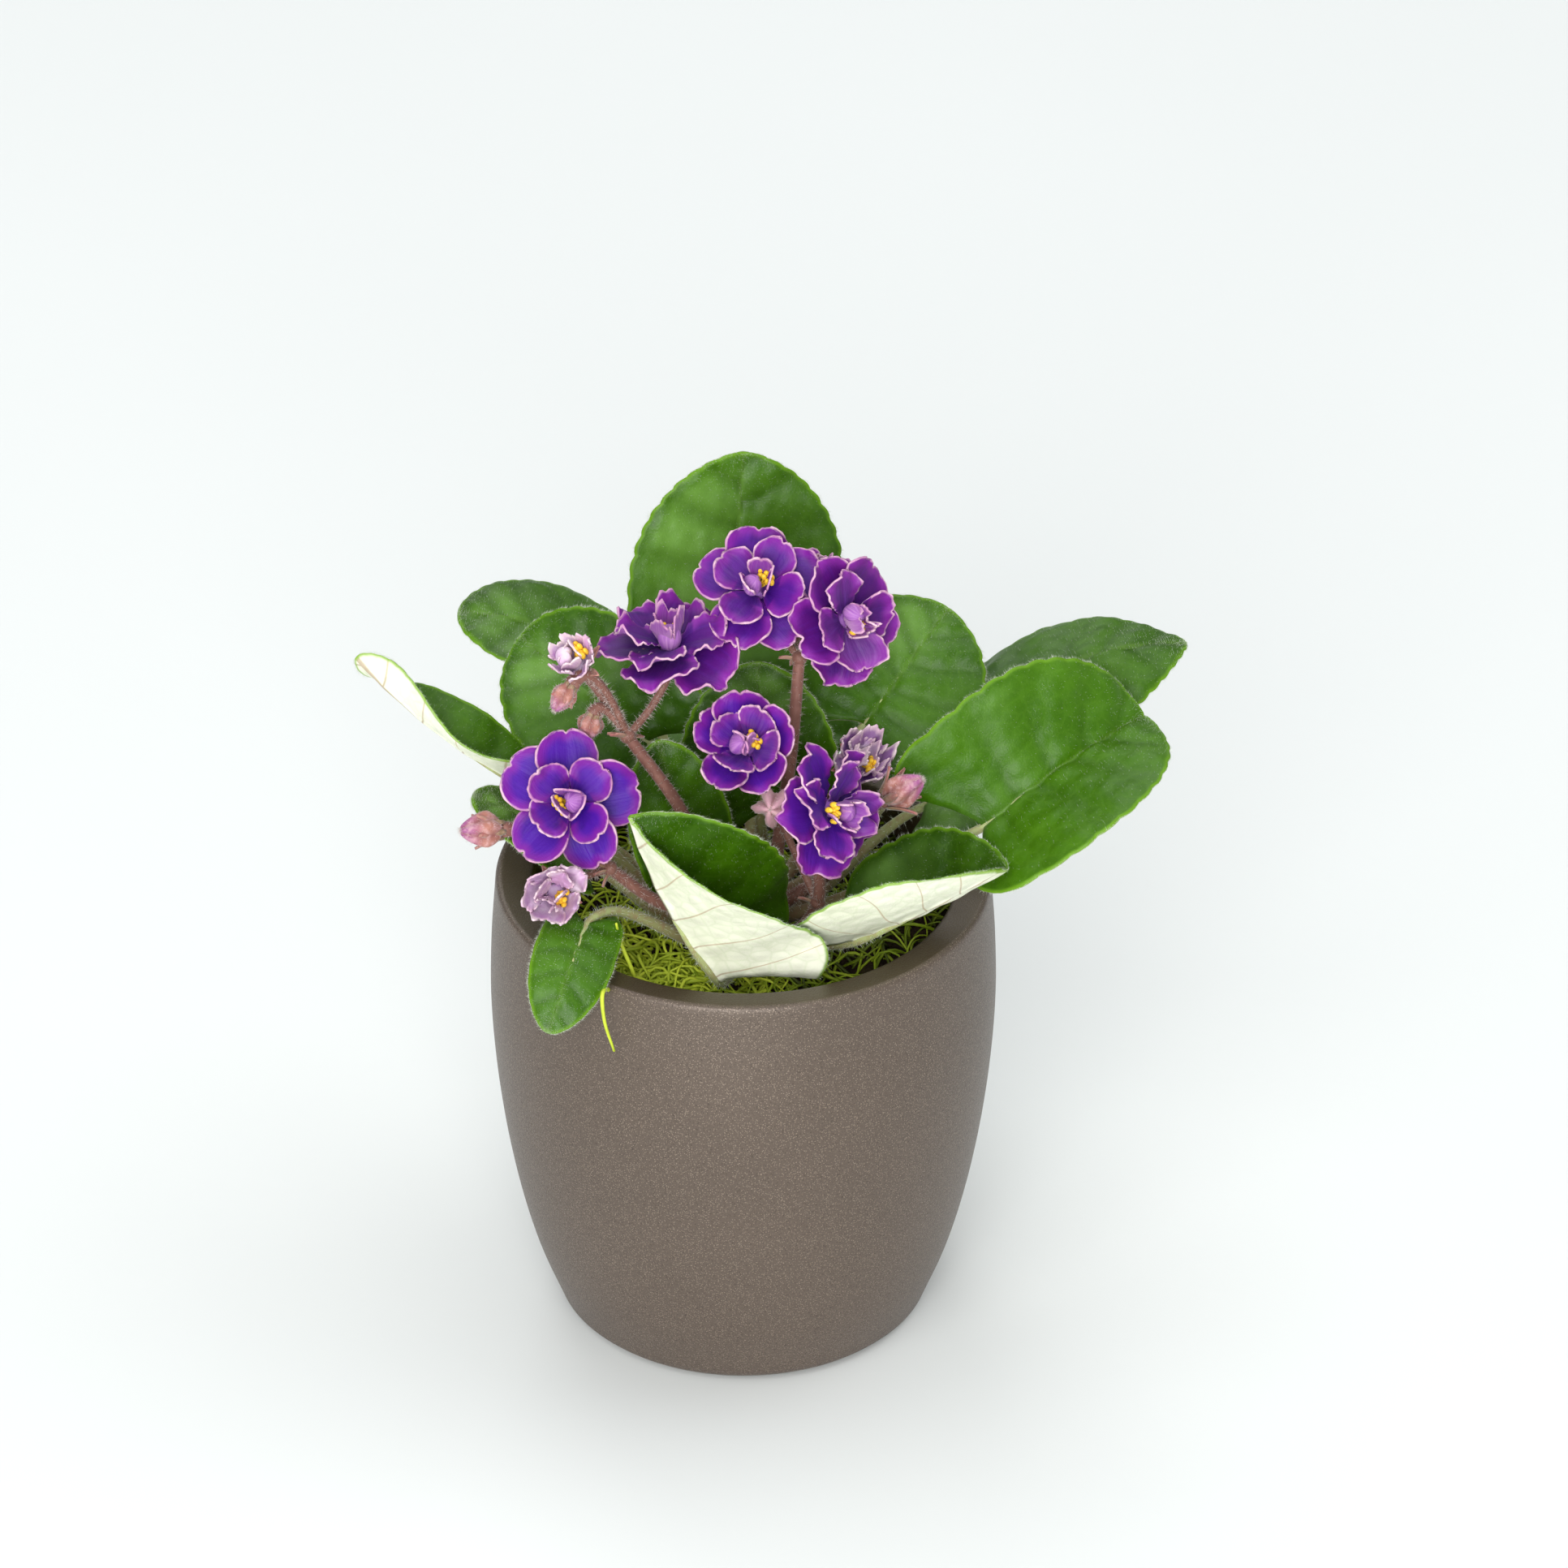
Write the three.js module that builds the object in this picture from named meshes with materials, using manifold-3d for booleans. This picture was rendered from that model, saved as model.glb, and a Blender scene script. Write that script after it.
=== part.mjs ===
// A potted African violet: a rosette of scalloped leaves with double, frilled
// purple blooms, planted in a barrel-shaped ceramic pot.
// Millimetres, +Z up. The origin is the centre of the pot's underside, and the
// plant's best side faces -Y.

import * as THREE from "three";
import { mergeVertices } from "three/addons/utils/BufferGeometryUtils.js";
import Module from "manifold-3d";

const wasm = await Module();
wasm.setup();

// ---------------------------------------------------------------- driving sizes

const POT = { height: 135, wall: 6, floor: 7, lip: 9, lipDrop: 1.6, facets: 36 };
// Outside radius of the pot at a few heights, from the foot to the rim.
const POT_OUTSIDE = [
  [0, 48],
  [3, 52.4],
  [20, 58.5],
  [41, 63.6],
  [68, 67.7],
  [95, 69.6],
  [115, 69.2],
  [133.6, 67.8],
  [135, 66.6],
];
const GAP = 0.3; // clear distance between pieces that touch
const SOIL_TOP = 112;
const MOSS = { rise: 4.5, bump: 1.8, facets: 30, rings: 6, holeRadius: 19 };
const CROWN = { radius: 9.5, neck: 7, depth: 10, top: 130 };
// A blade's outline: where it is widest, how far its base lobes are rounded off and
// by how much, and how far they reach back, as shares of its length and width.
const OUTLINE = { widest: 0.4, lobeEnd: 0.1, lobeCut: 0.2, lobeBack: 0.2 };
const LEAF = { thickness: 1, tooth: 0.9, petioleFoot: 2.1, petioleEnd: 1.1 };
const PETAL = { thickness: 0.7, lean: 0.28, claw: 0.085 };
const CORE = { radius: 2.6, back: 2.2, front: 2.4 };
const RING_ROOTS = [[1.8, 0], [1.6, 1], [1, 2]]; // radius and height on the core

// ------------------------------------------------------------- small vector help

const vec = (p) => new THREE.Vector3(...p);
const radians = THREE.MathUtils.degToRad;
const polar = (radius, azimuth, z) =>
  new THREE.Vector3(
    radius * Math.cos(radians(azimuth)),
    radius * Math.sin(radians(azimuth)),
    z,
  );

// How far forwards and upwards a strip has gone at a share of its length, when it
// starts at an angle and turns by `bend` degrees, most of it near the start.
function turningLine(share, start, bend, length) {
  const steps = 8;
  let level = 0;
  let raised = 0;
  for (let i = 0; i < steps; i += 1) {
    const rest = 1 - Math.min(1, ((i + 0.5) / steps) * share);
    const angle = radians(start + bend * (1 - rest * rest));
    level += (Math.cos(angle) * share * length) / steps;
    raised += (Math.sin(angle) * share * length) / steps;
  }
  return [level, raised];
}

// ------------------------------------------------------------ solids and fusing

function solidOf(geometry) {
  const bare = geometry.clone();
  bare.deleteAttribute("normal");
  bare.deleteAttribute("uv");
  const merged = mergeVertices(bare, 1e-4);
  return new wasm.Manifold(
    new wasm.Mesh({
      numProp: 3,
      vertProperties: merged.getAttribute("position").array,
      triVerts: new Uint32Array(merged.index.array),
    }),
  );
}

function geometryOf(solid) {
  const mesh = solid.getMesh();
  const geometry = new THREE.BufferGeometry();
  const positions = new THREE.BufferAttribute(mesh.vertProperties, 3);
  geometry.setAttribute("position", positions);
  geometry.setIndex(new THREE.BufferAttribute(mesh.triVerts, 1));
  geometry.computeVertexNormals();
  return geometry;
}

// One body from several: joined, then loose scraps of the join are dropped.
function fuse(geometries) {
  const joined = geometries.map(solidOf).reduce((a, b) => a.add(b));
  const bodies = joined.decompose().sort((a, b) => b.volume() - a.volume());
  return geometryOf(bodies[0]);
}

function indexed(points, triangles) {
  const geometry = new THREE.BufferGeometry().setFromPoints(points);
  geometry.setIndex(triangles.flat());
  return geometry;
}

// A closed plate of even thickness round a triangulated sheet. `border` lists
// the sheet's edge points in the same turning sense as its triangles.
function plate(points, triangles, border, thickness) {
  const sheet = indexed(points, triangles);
  sheet.computeVertexNormals();
  const normals = sheet.getAttribute("normal");
  const side = (sign) =>
    points.map((p, i) =>
      new THREE.Vector3()
        .fromBufferAttribute(normals, i)
        .multiplyScalar((sign * thickness) / 2)
        .add(p),
    );
  const count = points.length;
  const faces = [];
  triangles.forEach(([a, b, c]) => {
    faces.push([a, b, c]);
    faces.push([count + a, count + c, count + b]);
  });
  border.forEach((a, i) => {
    const b = border[(i + 1) % border.length];
    faces.push([b, a, count + a]);
    faces.push([b, count + a, count + b]);
  });
  return indexed([...side(1), ...side(-1)], faces);
}

// A round stem along a curve. `radii` run evenly along it, from foot to end.
function stem(curve, radii, segments, sides) {
  const frames = curve.computeFrenetFrames(segments, false);
  const points = [];
  for (let i = 0; i <= segments; i += 1) {
    const centre = curve.getPointAt(i / segments);
    const place = (i / segments) * (radii.length - 1);
    const before = Math.min(Math.floor(place), radii.length - 2);
    const radius = THREE.MathUtils.lerp(radii[before], radii[before + 1], place - before);
    for (let k = 0; k < sides; k += 1) {
      const turn = (2 * Math.PI * k) / sides;
      points.push(
        centre
          .clone()
          .addScaledVector(frames.normals[i], radius * Math.cos(turn))
          .addScaledVector(frames.binormals[i], radius * Math.sin(turn)),
      );
    }
  }
  const faces = [];
  for (let i = 0; i < segments; i += 1) {
    for (let k = 0; k < sides; k += 1) {
      const a = i * sides + k;
      const b = i * sides + ((k + 1) % sides);
      faces.push([a, b, a + sides]);
      faces.push([b, b + sides, a + sides]);
    }
  }
  const last = segments * sides;
  for (let k = 1; k < sides - 1; k += 1) {
    faces.push([0, k + 1, k]);
    faces.push([last, last + k, last + k + 1]);
  }
  return indexed(points, faces);
}

// -------------------------------------------------------------------- materials

const finish = (color, roughness, metalness = 0) =>
  new THREE.MeshStandardMaterial({ color, roughness, metalness });

const FINISH = {
  pot: finish(0x5b524c, 0.42, 0.35),
  soil: finish(0x2b2018, 0.95),
  moss: finish(0x6f8a1e, 0.9),
  crown: finish(0x8a6a4a, 0.8),
  leaf: finish(0x3c7a22, 0.6),
  stalk: finish(0x7d5a4c, 0.7),
  petal: finish(0x5b22a8, 0.55),
  faded: finish(0xc98fb8, 0.65),
  anther: finish(0xf2c318, 0.5),
  bud: finish(0xb9808a, 0.7),
};

// ----------------------------------------------------------------- pot and soil

function potOutsideRadius(z) {
  const next = Math.max(1, POT_OUTSIDE.findIndex(([height]) => height >= z));
  const [z0, r0] = POT_OUTSIDE[next - 1];
  const [z1, r1] = POT_OUTSIDE[next];
  return r0 + ((r1 - r0) * (z - z0)) / (z1 - z0);
}

const potInsideRadius = (z) => potOutsideRadius(z) - POT.wall;

function potGeometry() {
  const outside = POT_OUTSIDE.map(([z, r]) => new THREE.Vector2(r, z));
  const rimInner = POT_OUTSIDE.at(-1)[1] - POT.lip;
  const lipFoot = POT.height - POT.lipDrop;
  const inside = [
    [rimInner + 1, lipFoot + 0.9],
    [rimInner, lipFoot - 0.6],
    [rimInner + 0.6, lipFoot - 6],
    [potInsideRadius(110), 110],
    [potInsideRadius(60), 60],
    [potInsideRadius(20), 20],
    [potInsideRadius(POT.floor) - 4, POT.floor],
  ].map(([r, z]) => new THREE.Vector2(r, z));
  const profile = [
    new THREE.Vector2(0, 0),
    ...outside,
    ...inside,
    new THREE.Vector2(0, POT.floor),
  ];
  return turned(profile, POT.facets);
}

// A solid of revolution about Z from a profile of (radius, height).
function turned(profile, facets) {
  const lathe = new THREE.LatheGeometry(profile, facets);
  lathe.rotateX(Math.PI / 2);
  return lathe;
}

// The soil fills the pot and has a plain hole for the neck of the plant.
function soilGeometry() {
  const foot = POT.floor + GAP;
  const hole = CROWN.neck + GAP;
  const clear = (z) => potInsideRadius(z) - 1;
  const profile = [
    [0, foot],
    [clear(foot) - 5, foot],
    [clear(20), 20],
    [clear(60), 60],
    [clear(SOIL_TOP) - 1, SOIL_TOP],
    [hole, SOIL_TOP],
    [hole, SOIL_TOP - CROWN.depth],
    [0, SOIL_TOP - CROWN.depth],
  ].map(([r, z]) => new THREE.Vector2(r, z));
  return turned(profile, POT.facets);
}

// Height of the moss above the soil: a low cushion with tufts.
function mossHeight(r, turn) {
  const tufts =
    Math.sin(5 * turn + r * 0.35) * Math.cos(3 * turn - r * 0.22) +
    0.5 * Math.sin(11 * turn + r * 0.5);
  return MOSS.rise + MOSS.bump * tufts;
}

// The moss is a ring round the crown that lies on the soil.
function mossGeometry() {
  const outer = potInsideRadius(SOIL_TOP + 4) - 4;
  const { facets, rings, holeRadius } = MOSS;
  const foot = SOIL_TOP + GAP;
  const points = [];
  for (let k = 0; k < facets; k += 1) {
    const turn = (2 * Math.PI * k) / facets;
    const at = (r, z) => points.push(polar(r, (360 * k) / facets, z));
    at(holeRadius, foot);
    for (let i = 0; i < rings; i += 1) {
      const r = holeRadius + ((outer - holeRadius) * i) / (rings - 1);
      at(r, foot + mossHeight(r, turn));
    }
    at(outer, foot);
  }
  const around = rings + 2;
  const faces = [];
  for (let k = 0; k < facets; k += 1) {
    const here = k * around;
    const next = ((k + 1) % facets) * around;
    for (let i = 0; i < around; i += 1) {
      const j = (i + 1) % around;
      faces.push([here + i, here + j, next + j]);
      faces.push([here + i, next + j, next + i]);
    }
  }
  return indexed(points, faces);
}

// The short, scarred stem that every leaf and flower stalk springs from.
function crownGeometry() {
  const { radius, neck, depth, top } = CROWN;
  const profile = [
    [0, SOIL_TOP - depth + GAP],
    [neck * 0.8, SOIL_TOP - depth + GAP],
    [neck, SOIL_TOP - depth + 3],
    [neck, SOIL_TOP + 1],
    [radius, SOIL_TOP + 6],
    [radius, top - 6],
    [radius * 0.8, top - 2],
    [radius * 0.4, top],
    [0, top],
  ].map(([r, z]) => new THREE.Vector2(r, z));
  return turned(profile, 12);
}

// ----------------------------------------------------------------------- leaves
// base: where the leaf stalk meets the blade.     tip: the blade's far end.
// face: the way the upper face looks.             width: across both halves.
// arch: how far the midrib bows towards the face. twist: degrees at base, middle, tip.
// fold: degrees each half is raised, left, right. curl: further turn to the edge.
// lobes: width of each half at the base, as a share of its widest, left, right.
// taper: over 0.6 for a keener tip, left, right.  teeth: scallops down each side.
// root: azimuth and height where the stalk leaves the crown.

const LEAVES = [
  {
    name: "leaf_back_tall", base: [-3, 34, 180], tip: [0, 50, 238], face: [0.17, -0.96, 0.23],
    width: 60, arch: -2.6, fold: [7, 2], curl: [-2, 2], root: [98, 127], teeth: 10,
  },
  {
    name: "leaf_left_back", base: [-36, 58, 168], tip: [-79, 58, 183], face: [0.41, -0.32, 0.86],
    width: 43, arch: 3.9, fold: [8, -2], curl: [4, -15], root: [134, 127], teeth: 8,
  },
  {
    name: "leaf_left_upper", base: [-26, 14, 168], tip: [-61, 37, 188], face: [-0.2, -0.8, 0.55],
    width: 48, arch: 3.3, fold: [10, 8], curl: [12, 8], root: [160, 127], teeth: 8,
  },
  {
    name: "leaf_left_far", base: [-52, -6, 163], tip: [-104, 4, 201], face: [0.1, 0.5, 0.85],
    width: 25, arch: -3.5, fold: [34, 20], curl: [20, 5], twist: [20, -45, 62], root: [180, 121], teeth: 8,
  },
  {
    name: "leaf_left_low", base: [-44, -17, 150], tip: [-73, -15, 169], face: [0, -0.3, 0.95],
    width: 26, arch: 2.6, fold: [8, -16], curl: [5, -5], root: [200, 119], teeth: 6,
  },
  {
    name: "leaf_over_rim", base: [-42, -43, 146], tip: [-52, -69, 128], face: [0.1, -0.62, 0.78],
    width: 22, lobes: [0.75, 0.75], arch: 5, fold: [0, 0], curl: [-12, -12], root: [236, 118], teeth: 6,
  },
  {
    name: "leaf_front_keeled", base: [-6, -43, 128], tip: [-30, -48, 183], face: [0.9, 0.05, 0.41],
    width: 66, lobes: [0.9, 0.45], taper: [1.3, 0.5], arch: -3, fold: [66, 48], curl: [12, 16],
    twist: [4, -22, -40], root: [262, 120], teeth: 10,
  },
  {
    name: "leaf_front_right", base: [30, -32, 134], tip: [68, -43, 163], face: [-0.26, 0.63, 0.71],
    width: 66, lobes: [0.75, 0.42], arch: -1, fold: [-14, -6], curl: [104, 22], root: [309, 120], teeth: 10,
  },
  {
    name: "leaf_right_big", base: [65, -12, 157], tip: [109, 16, 175], face: [0.1, -0.56, 0.82],
    width: 62, lobes: [0.92, 0.5], arch: 6, fold: [20, 25], curl: [16, 12], root: [351, 122], teeth: 10,
  },
  {
    name: "leaf_right_back", base: [67, 35, 167], tip: [122, 44, 181], face: [-0.26, -0.16, 0.95],
    width: 49, taper: [0.85, 0.85], arch: 5.6, fold: [-5, 7], curl: [-10, -41], root: [12, 127], teeth: 8,
  },
  {
    name: "leaf_right_upper", base: [33, 15, 173], tip: [56, 40, 195], face: [0.0, -0.72, 0.66],
    width: 49, arch: 0.4, fold: [0, 4], curl: [-6, -2], root: [34, 128], teeth: 8,
  },
  {
    name: "leaf_middle", base: [5, 10, 148], tip: [4, 13, 194], face: [-0.05, -0.95, 0.1],
    width: 43, arch: 2, fold: [3, 5], curl: [0, 6], root: [66, 125], teeth: 8,
  },
  {
    name: "leaf_middle_left", base: [-14, -9, 141], tip: [-23, -8, 182], face: [0.05, -0.9, 0.4],
    width: 28, arch: 1, fold: [4, 4], curl: [2, 2], root: [206, 128], teeth: 6,
  },
  {
    name: "leaf_rear_left", base: [-30, 42, 143], tip: [-50, 78, 150], face: [-0.2, 0.1, 0.97],
    width: 44, arch: 5, fold: [6, 6], curl: [-8, -8], root: [121, 119], teeth: 8,
  },
  {
    name: "leaf_rear_middle", base: [3, 48, 142], tip: [6, 98, 156], face: [0, 0.2, 0.98],
    width: 50, arch: 5, fold: [6, 6], curl: [-8, -8], root: [86, 118], teeth: 8,
  },
  {
    name: "leaf_rear_right", base: [34, 40, 150], tip: [54, 74, 158], face: [0.2, 0.1, 0.97],
    width: 44, arch: 5, fold: [6, 6], curl: [-8, -8], root: [52, 121], teeth: 8,
  },
  {
    name: "leaf_low_right", base: [50, 22, 143], tip: [94, 40, 147], face: [0.1, 0, 0.99],
    width: 42, arch: 5, fold: [6, 6], curl: [-8, -8], root: [17, 119], teeth: 8,
  },
  {
    name: "leaf_low_left", base: [-44, 12, 141], tip: [-70, 25, 140], face: [-0.1, 0, 0.99],
    width: 30, arch: 5, fold: [6, 6], curl: [-8, -8], root: [164, 119], teeth: 6,
  },
];

// Half the blade's width, as a share of its widest, from base (0) to tip (1).
function outlineHalfWidth(u, atBase, taper) {
  const { widest, lobeEnd, lobeCut } = OUTLINE;
  if (u < widest) {
    const s = 1 - u / widest;
    const rounding = 1 - lobeCut * Math.max(0, 1 - u / lobeEnd) ** 2;
    return (atBase + (1 - atBase) * Math.sqrt(1 - s * s)) * rounding;
  }
  const s = (u - widest) / (1 - widest);
  return Math.pow(Math.max(0, 1 - s * s), taper);
}

// How far the blade has twisted at x, in degrees.
function twistAt([base, middle, tip], x) {
  return base + (4 * middle - 3 * base - tip) * x + 2 * (base + tip - 2 * middle) * x * x;
}

// The frame that a leaf's blade is laid out in.
function bladeFrame(leaf) {
  const base = vec(leaf.base);
  const along = vec(leaf.tip).sub(base);
  const length = along.length();
  along.normalize();
  const face = vec(leaf.face);
  face.addScaledVector(along, -face.dot(along)).normalize();
  return { base, along, length, face, left: face.clone().cross(along) };
}

// A point of the blade: u from base to tip, v from the right edge (-1) to the
// left edge (1), and `out` millimetres beyond the plain outline.
function bladePoint(leaf, frame, u, v, out = 0) {
  const { base, along, length, face, left } = frame;
  const { lobes = [0.62, 0.62], taper = [0.6, 0.6], twist = [0, 0, 0] } = leaf;
  const half = leaf.width / 2;
  const span = Math.abs(v);
  const side = v < 0 ? 1 : 0;
  const lobe = OUTLINE.lobeBack * Math.pow(1 - u, 2.4) * Math.pow(span, 1.5);
  const x = u - lobe;
  const ahead = Math.max(0, x);
  const share = span * (outlineHalfWidth(u, lobes[side], taper[side]) + out / half);
  const [level, raised] = turningLine(share, leaf.fold[side], leaf.curl[side], half);
  const bow = 4 * leaf.arch;
  const slope = Math.atan2(bow * (1 - 2 * ahead), length);
  const turn = radians(twistAt(twist, ahead));
  const up = face.clone().multiplyScalar(Math.cos(slope));
  up.addScaledVector(along, -Math.sin(slope)).applyAxisAngle(along, turn);
  const beside = left.clone().applyAxisAngle(along, turn);
  return base
    .clone()
    .addScaledVector(along, x * length)
    .addScaledVector(face, bow * (x > 0 ? x * (1 - x) : x))
    .addScaledVector(beside, level * Math.sign(v))
    .addScaledVector(up, raised);
}

// The blade: a fine scalloped edge round a coarser middle. Every row of the
// middle meets two teeth, which are four steps of the edge.
function bladeGeometry(leaf) {
  const frame = bladeFrame(leaf);
  const rows = leaf.teeth / 2;
  const steps = 4;
  const at = (share) => 1 - Math.pow(1 - share, 1.5);
  const points = [];
  const columns = [-0.55, 0, 0.55].map((v) => {
    const first = points.length;
    for (let i = 0; i < rows; i += 1) {
      points.push(bladePoint(leaf, frame, at(i / rows), v));
    }
    return first;
  });
  const tip = points.length;
  points.push(bladePoint(leaf, frame, 1, 0));
  const edges = [-1, 1].map((v) => {
    const first = points.length;
    for (let i = 0; i < steps * rows; i += 1) {
      const out = i % 2 ? LEAF.tooth : 0;
      points.push(bladePoint(leaf, frame, at(i / (steps * rows)), v, out));
    }
    return first;
  });
  const inner = (column, i) => (i === rows ? tip : columns[column] + i);
  const outer = (edge, i) => (i === steps * rows ? tip : edges[edge] + i);
  const triangles = [];
  for (let i = 0; i < rows; i += 1) {
    for (const column of [0, 1]) {
      triangles.push([inner(column, i), inner(column + 1, i), inner(column, i + 1)]);
      triangles.push([inner(column + 1, i), inner(column + 1, i + 1), inner(column, i + 1)]);
    }
    triangles.push([inner(0, i), inner(0, i + 1), outer(0, steps * i + 2)]);
    triangles.push([inner(2, i), outer(1, steps * i + 2), inner(2, i + 1)]);
    for (let k = 0; k < steps; k += 1) {
      const j = steps * i + k;
      const hub = k < 2 ? i : i + 1;
      triangles.push([inner(0, hub), outer(0, j + 1), outer(0, j)]);
      triangles.push([inner(2, hub), outer(1, j), outer(1, j + 1)]);
    }
  }
  const kept = triangles.filter(([a, b, c]) => a !== b && b !== c && c !== a);
  const border = [tip];
  for (let i = steps * rows - 1; i >= 0; i -= 1) {
    border.push(edges[0] + i);
  }
  border.push(...columns);
  for (let i = 0; i < steps * rows; i += 1) {
    border.push(edges[1] + i);
  }
  return plate(points, kept, border, LEAF.thickness);
}

// The leaf stalk: out of the crown, then on under the blade as its raised midrib.
function petioleGeometry(leaf) {
  const frame = bladeFrame(leaf);
  const [azimuth, height] = leaf.root;
  const foot = polar(CROWN.radius + LEAF.petioleFoot + GAP, azimuth, height);
  const join = bladePoint(leaf, frame, 0.02, 0).addScaledVector(frame.face, -0.9);
  const onRib = bladePoint(leaf, frame, 0.3, 0).addScaledVector(frame.face, -0.4);
  const reach = foot.distanceTo(join);
  const outwards = polar(1, azimuth, 0.35).normalize();
  const arrive = frame.along.clone().addScaledVector(outwards, 0.6).normalize();
  const stalk = new THREE.CubicBezierCurve3(
    foot,
    foot.clone().addScaledVector(outwards, reach * 0.33),
    join.clone().addScaledVector(arrive, -reach * 0.33),
    join,
  );
  const path = new THREE.CatmullRomCurve3([...stalk.getPoints(4), onRib]);
  return stem(path, [LEAF.petioleFoot, LEAF.petioleEnd], 6, 5);
}

const leafGeometry = (leaf) => fuse([bladeGeometry(leaf), petioleGeometry(leaf)]);

// ----------------------------------------------------------------------- blooms
// at: the middle of the bloom.   facing: the way it looks.   spin: degrees round.
// layers: rings of petals from the outermost in. Each petal has a length and a
// width, leaves the middle at an angle `rise` above flat, bends by `bend` and is
// cupped by `cup`; `wave` is the height of its frill.

const DOUBLE = [
  { count: 5, length: 18, width: 19, rise: 10, bend: -12, cup: 0.1, wave: 0.9 },
  { count: 3, length: 14, width: 14, rise: 36, bend: -18, cup: 0.2, wave: 0.9 },
  { count: 2, length: 9, width: 8, rise: 64, bend: 6, cup: 0.4, wave: 0.4, step: 110, from: 125 },
];
const OPEN = [
  { count: 5, length: 17.5, width: 16.5, rise: 10, bend: -12, cup: 0.12, wave: 0.9 },
  { count: 3, length: 11.5, width: 10.5, rise: 42, bend: -6, cup: 0.25, wave: 0.6 },
  { count: 2, length: 8, width: 7, rise: 64, bend: 6, cup: 0.4, wave: 0.4, step: 110, from: 125 },
];
const CUPPED = [
  { count: 5, length: 15, width: 15, rise: 22, bend: 8, cup: 0.2, wave: 0.8 },
  { count: 3, length: 12, width: 12, rise: 46, bend: 6, cup: 0.3, wave: 0.6 },
  { count: 2, length: 8, width: 6, rise: 66, bend: 6, cup: 0.4, wave: 0.3, step: 110, from: 125 },
];
const FADED = [
  { count: 5, length: 12, width: 10, rise: 42, bend: 14, cup: 0.3, wave: 1 },
  { count: 2, length: 9, width: 7, rise: 66, bend: 10, cup: 0.4, wave: 0.6, step: 110, from: 125 },
];
const OPENING = [
  { count: 4, length: 10, width: 10, rise: 56, bend: 20, cup: 0.4, wave: 0.4 },
  { count: 2, length: 7, width: 6, rise: 72, bend: 6, cup: 0.4, wave: 0.3, step: 110, from: 125 },
];

const BLOOMS = [
  { name: "bloom_top", at: [4, 3, 222], facing: [0, -0.6, 0.8], spin: 20, size: 0.93, layers: DOUBLE },
  { name: "bloom_top_back", at: [18, 23, 213], facing: [0.3, 0.2, 0.9], spin: 50, size: 0.72, layers: DOUBLE },
  { name: "bloom_top_right", at: [26.5, -2, 216], facing: [0.6, -0.7, 0.4], spin: 0, size: 0.93, layers: DOUBLE },
  { name: "bloom_top_left", at: [-19.5, -6, 209], facing: [0, -0.1, 1], spin: 35, size: 1.06, layers: DOUBLE },
  { name: "bloom_left", at: [-46, -28, 175], facing: [-0.1, -0.83, 0.55], spin: 10, size: 1.05, layers: OPEN },
  { name: "bloom_right", at: [22, -33, 176], facing: [0.76, -0.6, 0.25], spin: 70, size: 0.98, layers: DOUBLE },
  { name: "bloom_middle", at: [1, -20, 187], facing: [-0.1, -0.72, 0.69], spin: 15, size: 0.97, layers: CUPPED },
  { name: "bloom_faded_right", at: [30.5, -2, 170], facing: [0.35, -0.5, 0.8], spin: 0, size: 0.9, layers: FADED },
  { name: "bloom_faded_left", at: [-50, -39, 154], facing: [-0.1, -0.75, 0.3], spin: 30, size: 0.95, layers: FADED },
  { name: "bloom_opening", at: [-44, -12, 208], facing: [-0.35, -0.45, 0.8], spin: 0, size: 0.9, layers: OPENING },
];

const Z_AXIS = new THREE.Vector3(0, 0, 1);

// The turn that takes a piece built along +Z to the way it faces on the plant.
const facingTurn = ({ facing, spin = 0 }) =>
  new THREE.Quaternion()
    .setFromUnitVectors(Z_AXIS, vec(facing).normalize())
    .multiply(new THREE.Quaternion().setFromAxisAngle(Z_AXIS, radians(spin)));

// Half the petal's width, as a share of its widest, from root (0) to edge (1).
const petalHalfWidth = (s) =>
  PETAL.claw + (1 - PETAL.claw) * Math.pow(Math.sin(Math.PI * 0.72 * s), 0.9);

// A point of a petal: s from root to edge, v from -1 to 1 across it.
function petalPoint(petal, s, v, lift = 0) {
  const { length, width, rise, bend, cup, azimuth, root } = petal;
  const edge = 1 - 0.26 * v * v;
  const [level, raised] = turningLine(s * edge, rise, bend, length);
  const across = (v * width * petalHalfWidth(s)) / 2;
  const height = root[1] + raised + cup * Math.abs(v * across) + across * PETAL.lean + lift;
  const a = radians(azimuth);
  const r = root[0] + level;
  return new THREE.Vector3(
    r * Math.cos(a) - across * Math.sin(a),
    r * Math.sin(a) + across * Math.cos(a),
    height,
  );
}

function petalGeometry(petal) {
  const points = [petalPoint(petal, 0, -1), petalPoint(petal, 0, 1)];
  for (const v of [-1, 0, 1]) {
    points.push(petalPoint(petal, 0.5, v));
  }
  [-1, -0.55, 0, 0.55, 1].forEach((v, i) => {
    const s = 1 - 0.14 * Math.abs(v) ** 3;
    points.push(petalPoint(petal, s, v, petal.wave * (i % 2 ? 1 : -0.5)));
  });
  const triangles = [
    [0, 2, 3], [0, 3, 1], [1, 3, 4],
    [2, 5, 6], [2, 6, 3], [3, 6, 7], [3, 7, 8], [3, 8, 4], [4, 8, 9],
  ];
  return plate(points, triangles, [0, 2, 5, 6, 7, 8, 9, 4, 1], PETAL.thickness);
}

function coreGeometry() {
  const profile = [
    [0, -CORE.back],
    [CORE.radius * 0.6, -CORE.back],
    [CORE.radius, 0],
    [CORE.radius * 0.75, CORE.front],
    [0, CORE.front],
  ].map(([r, z]) => new THREE.Vector2(r, z));
  return turned(profile, 7);
}

function placed(geometry, item) {
  geometry.applyQuaternion(facingTurn(item));
  geometry.translate(...item.at);
  return geometry;
}

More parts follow.
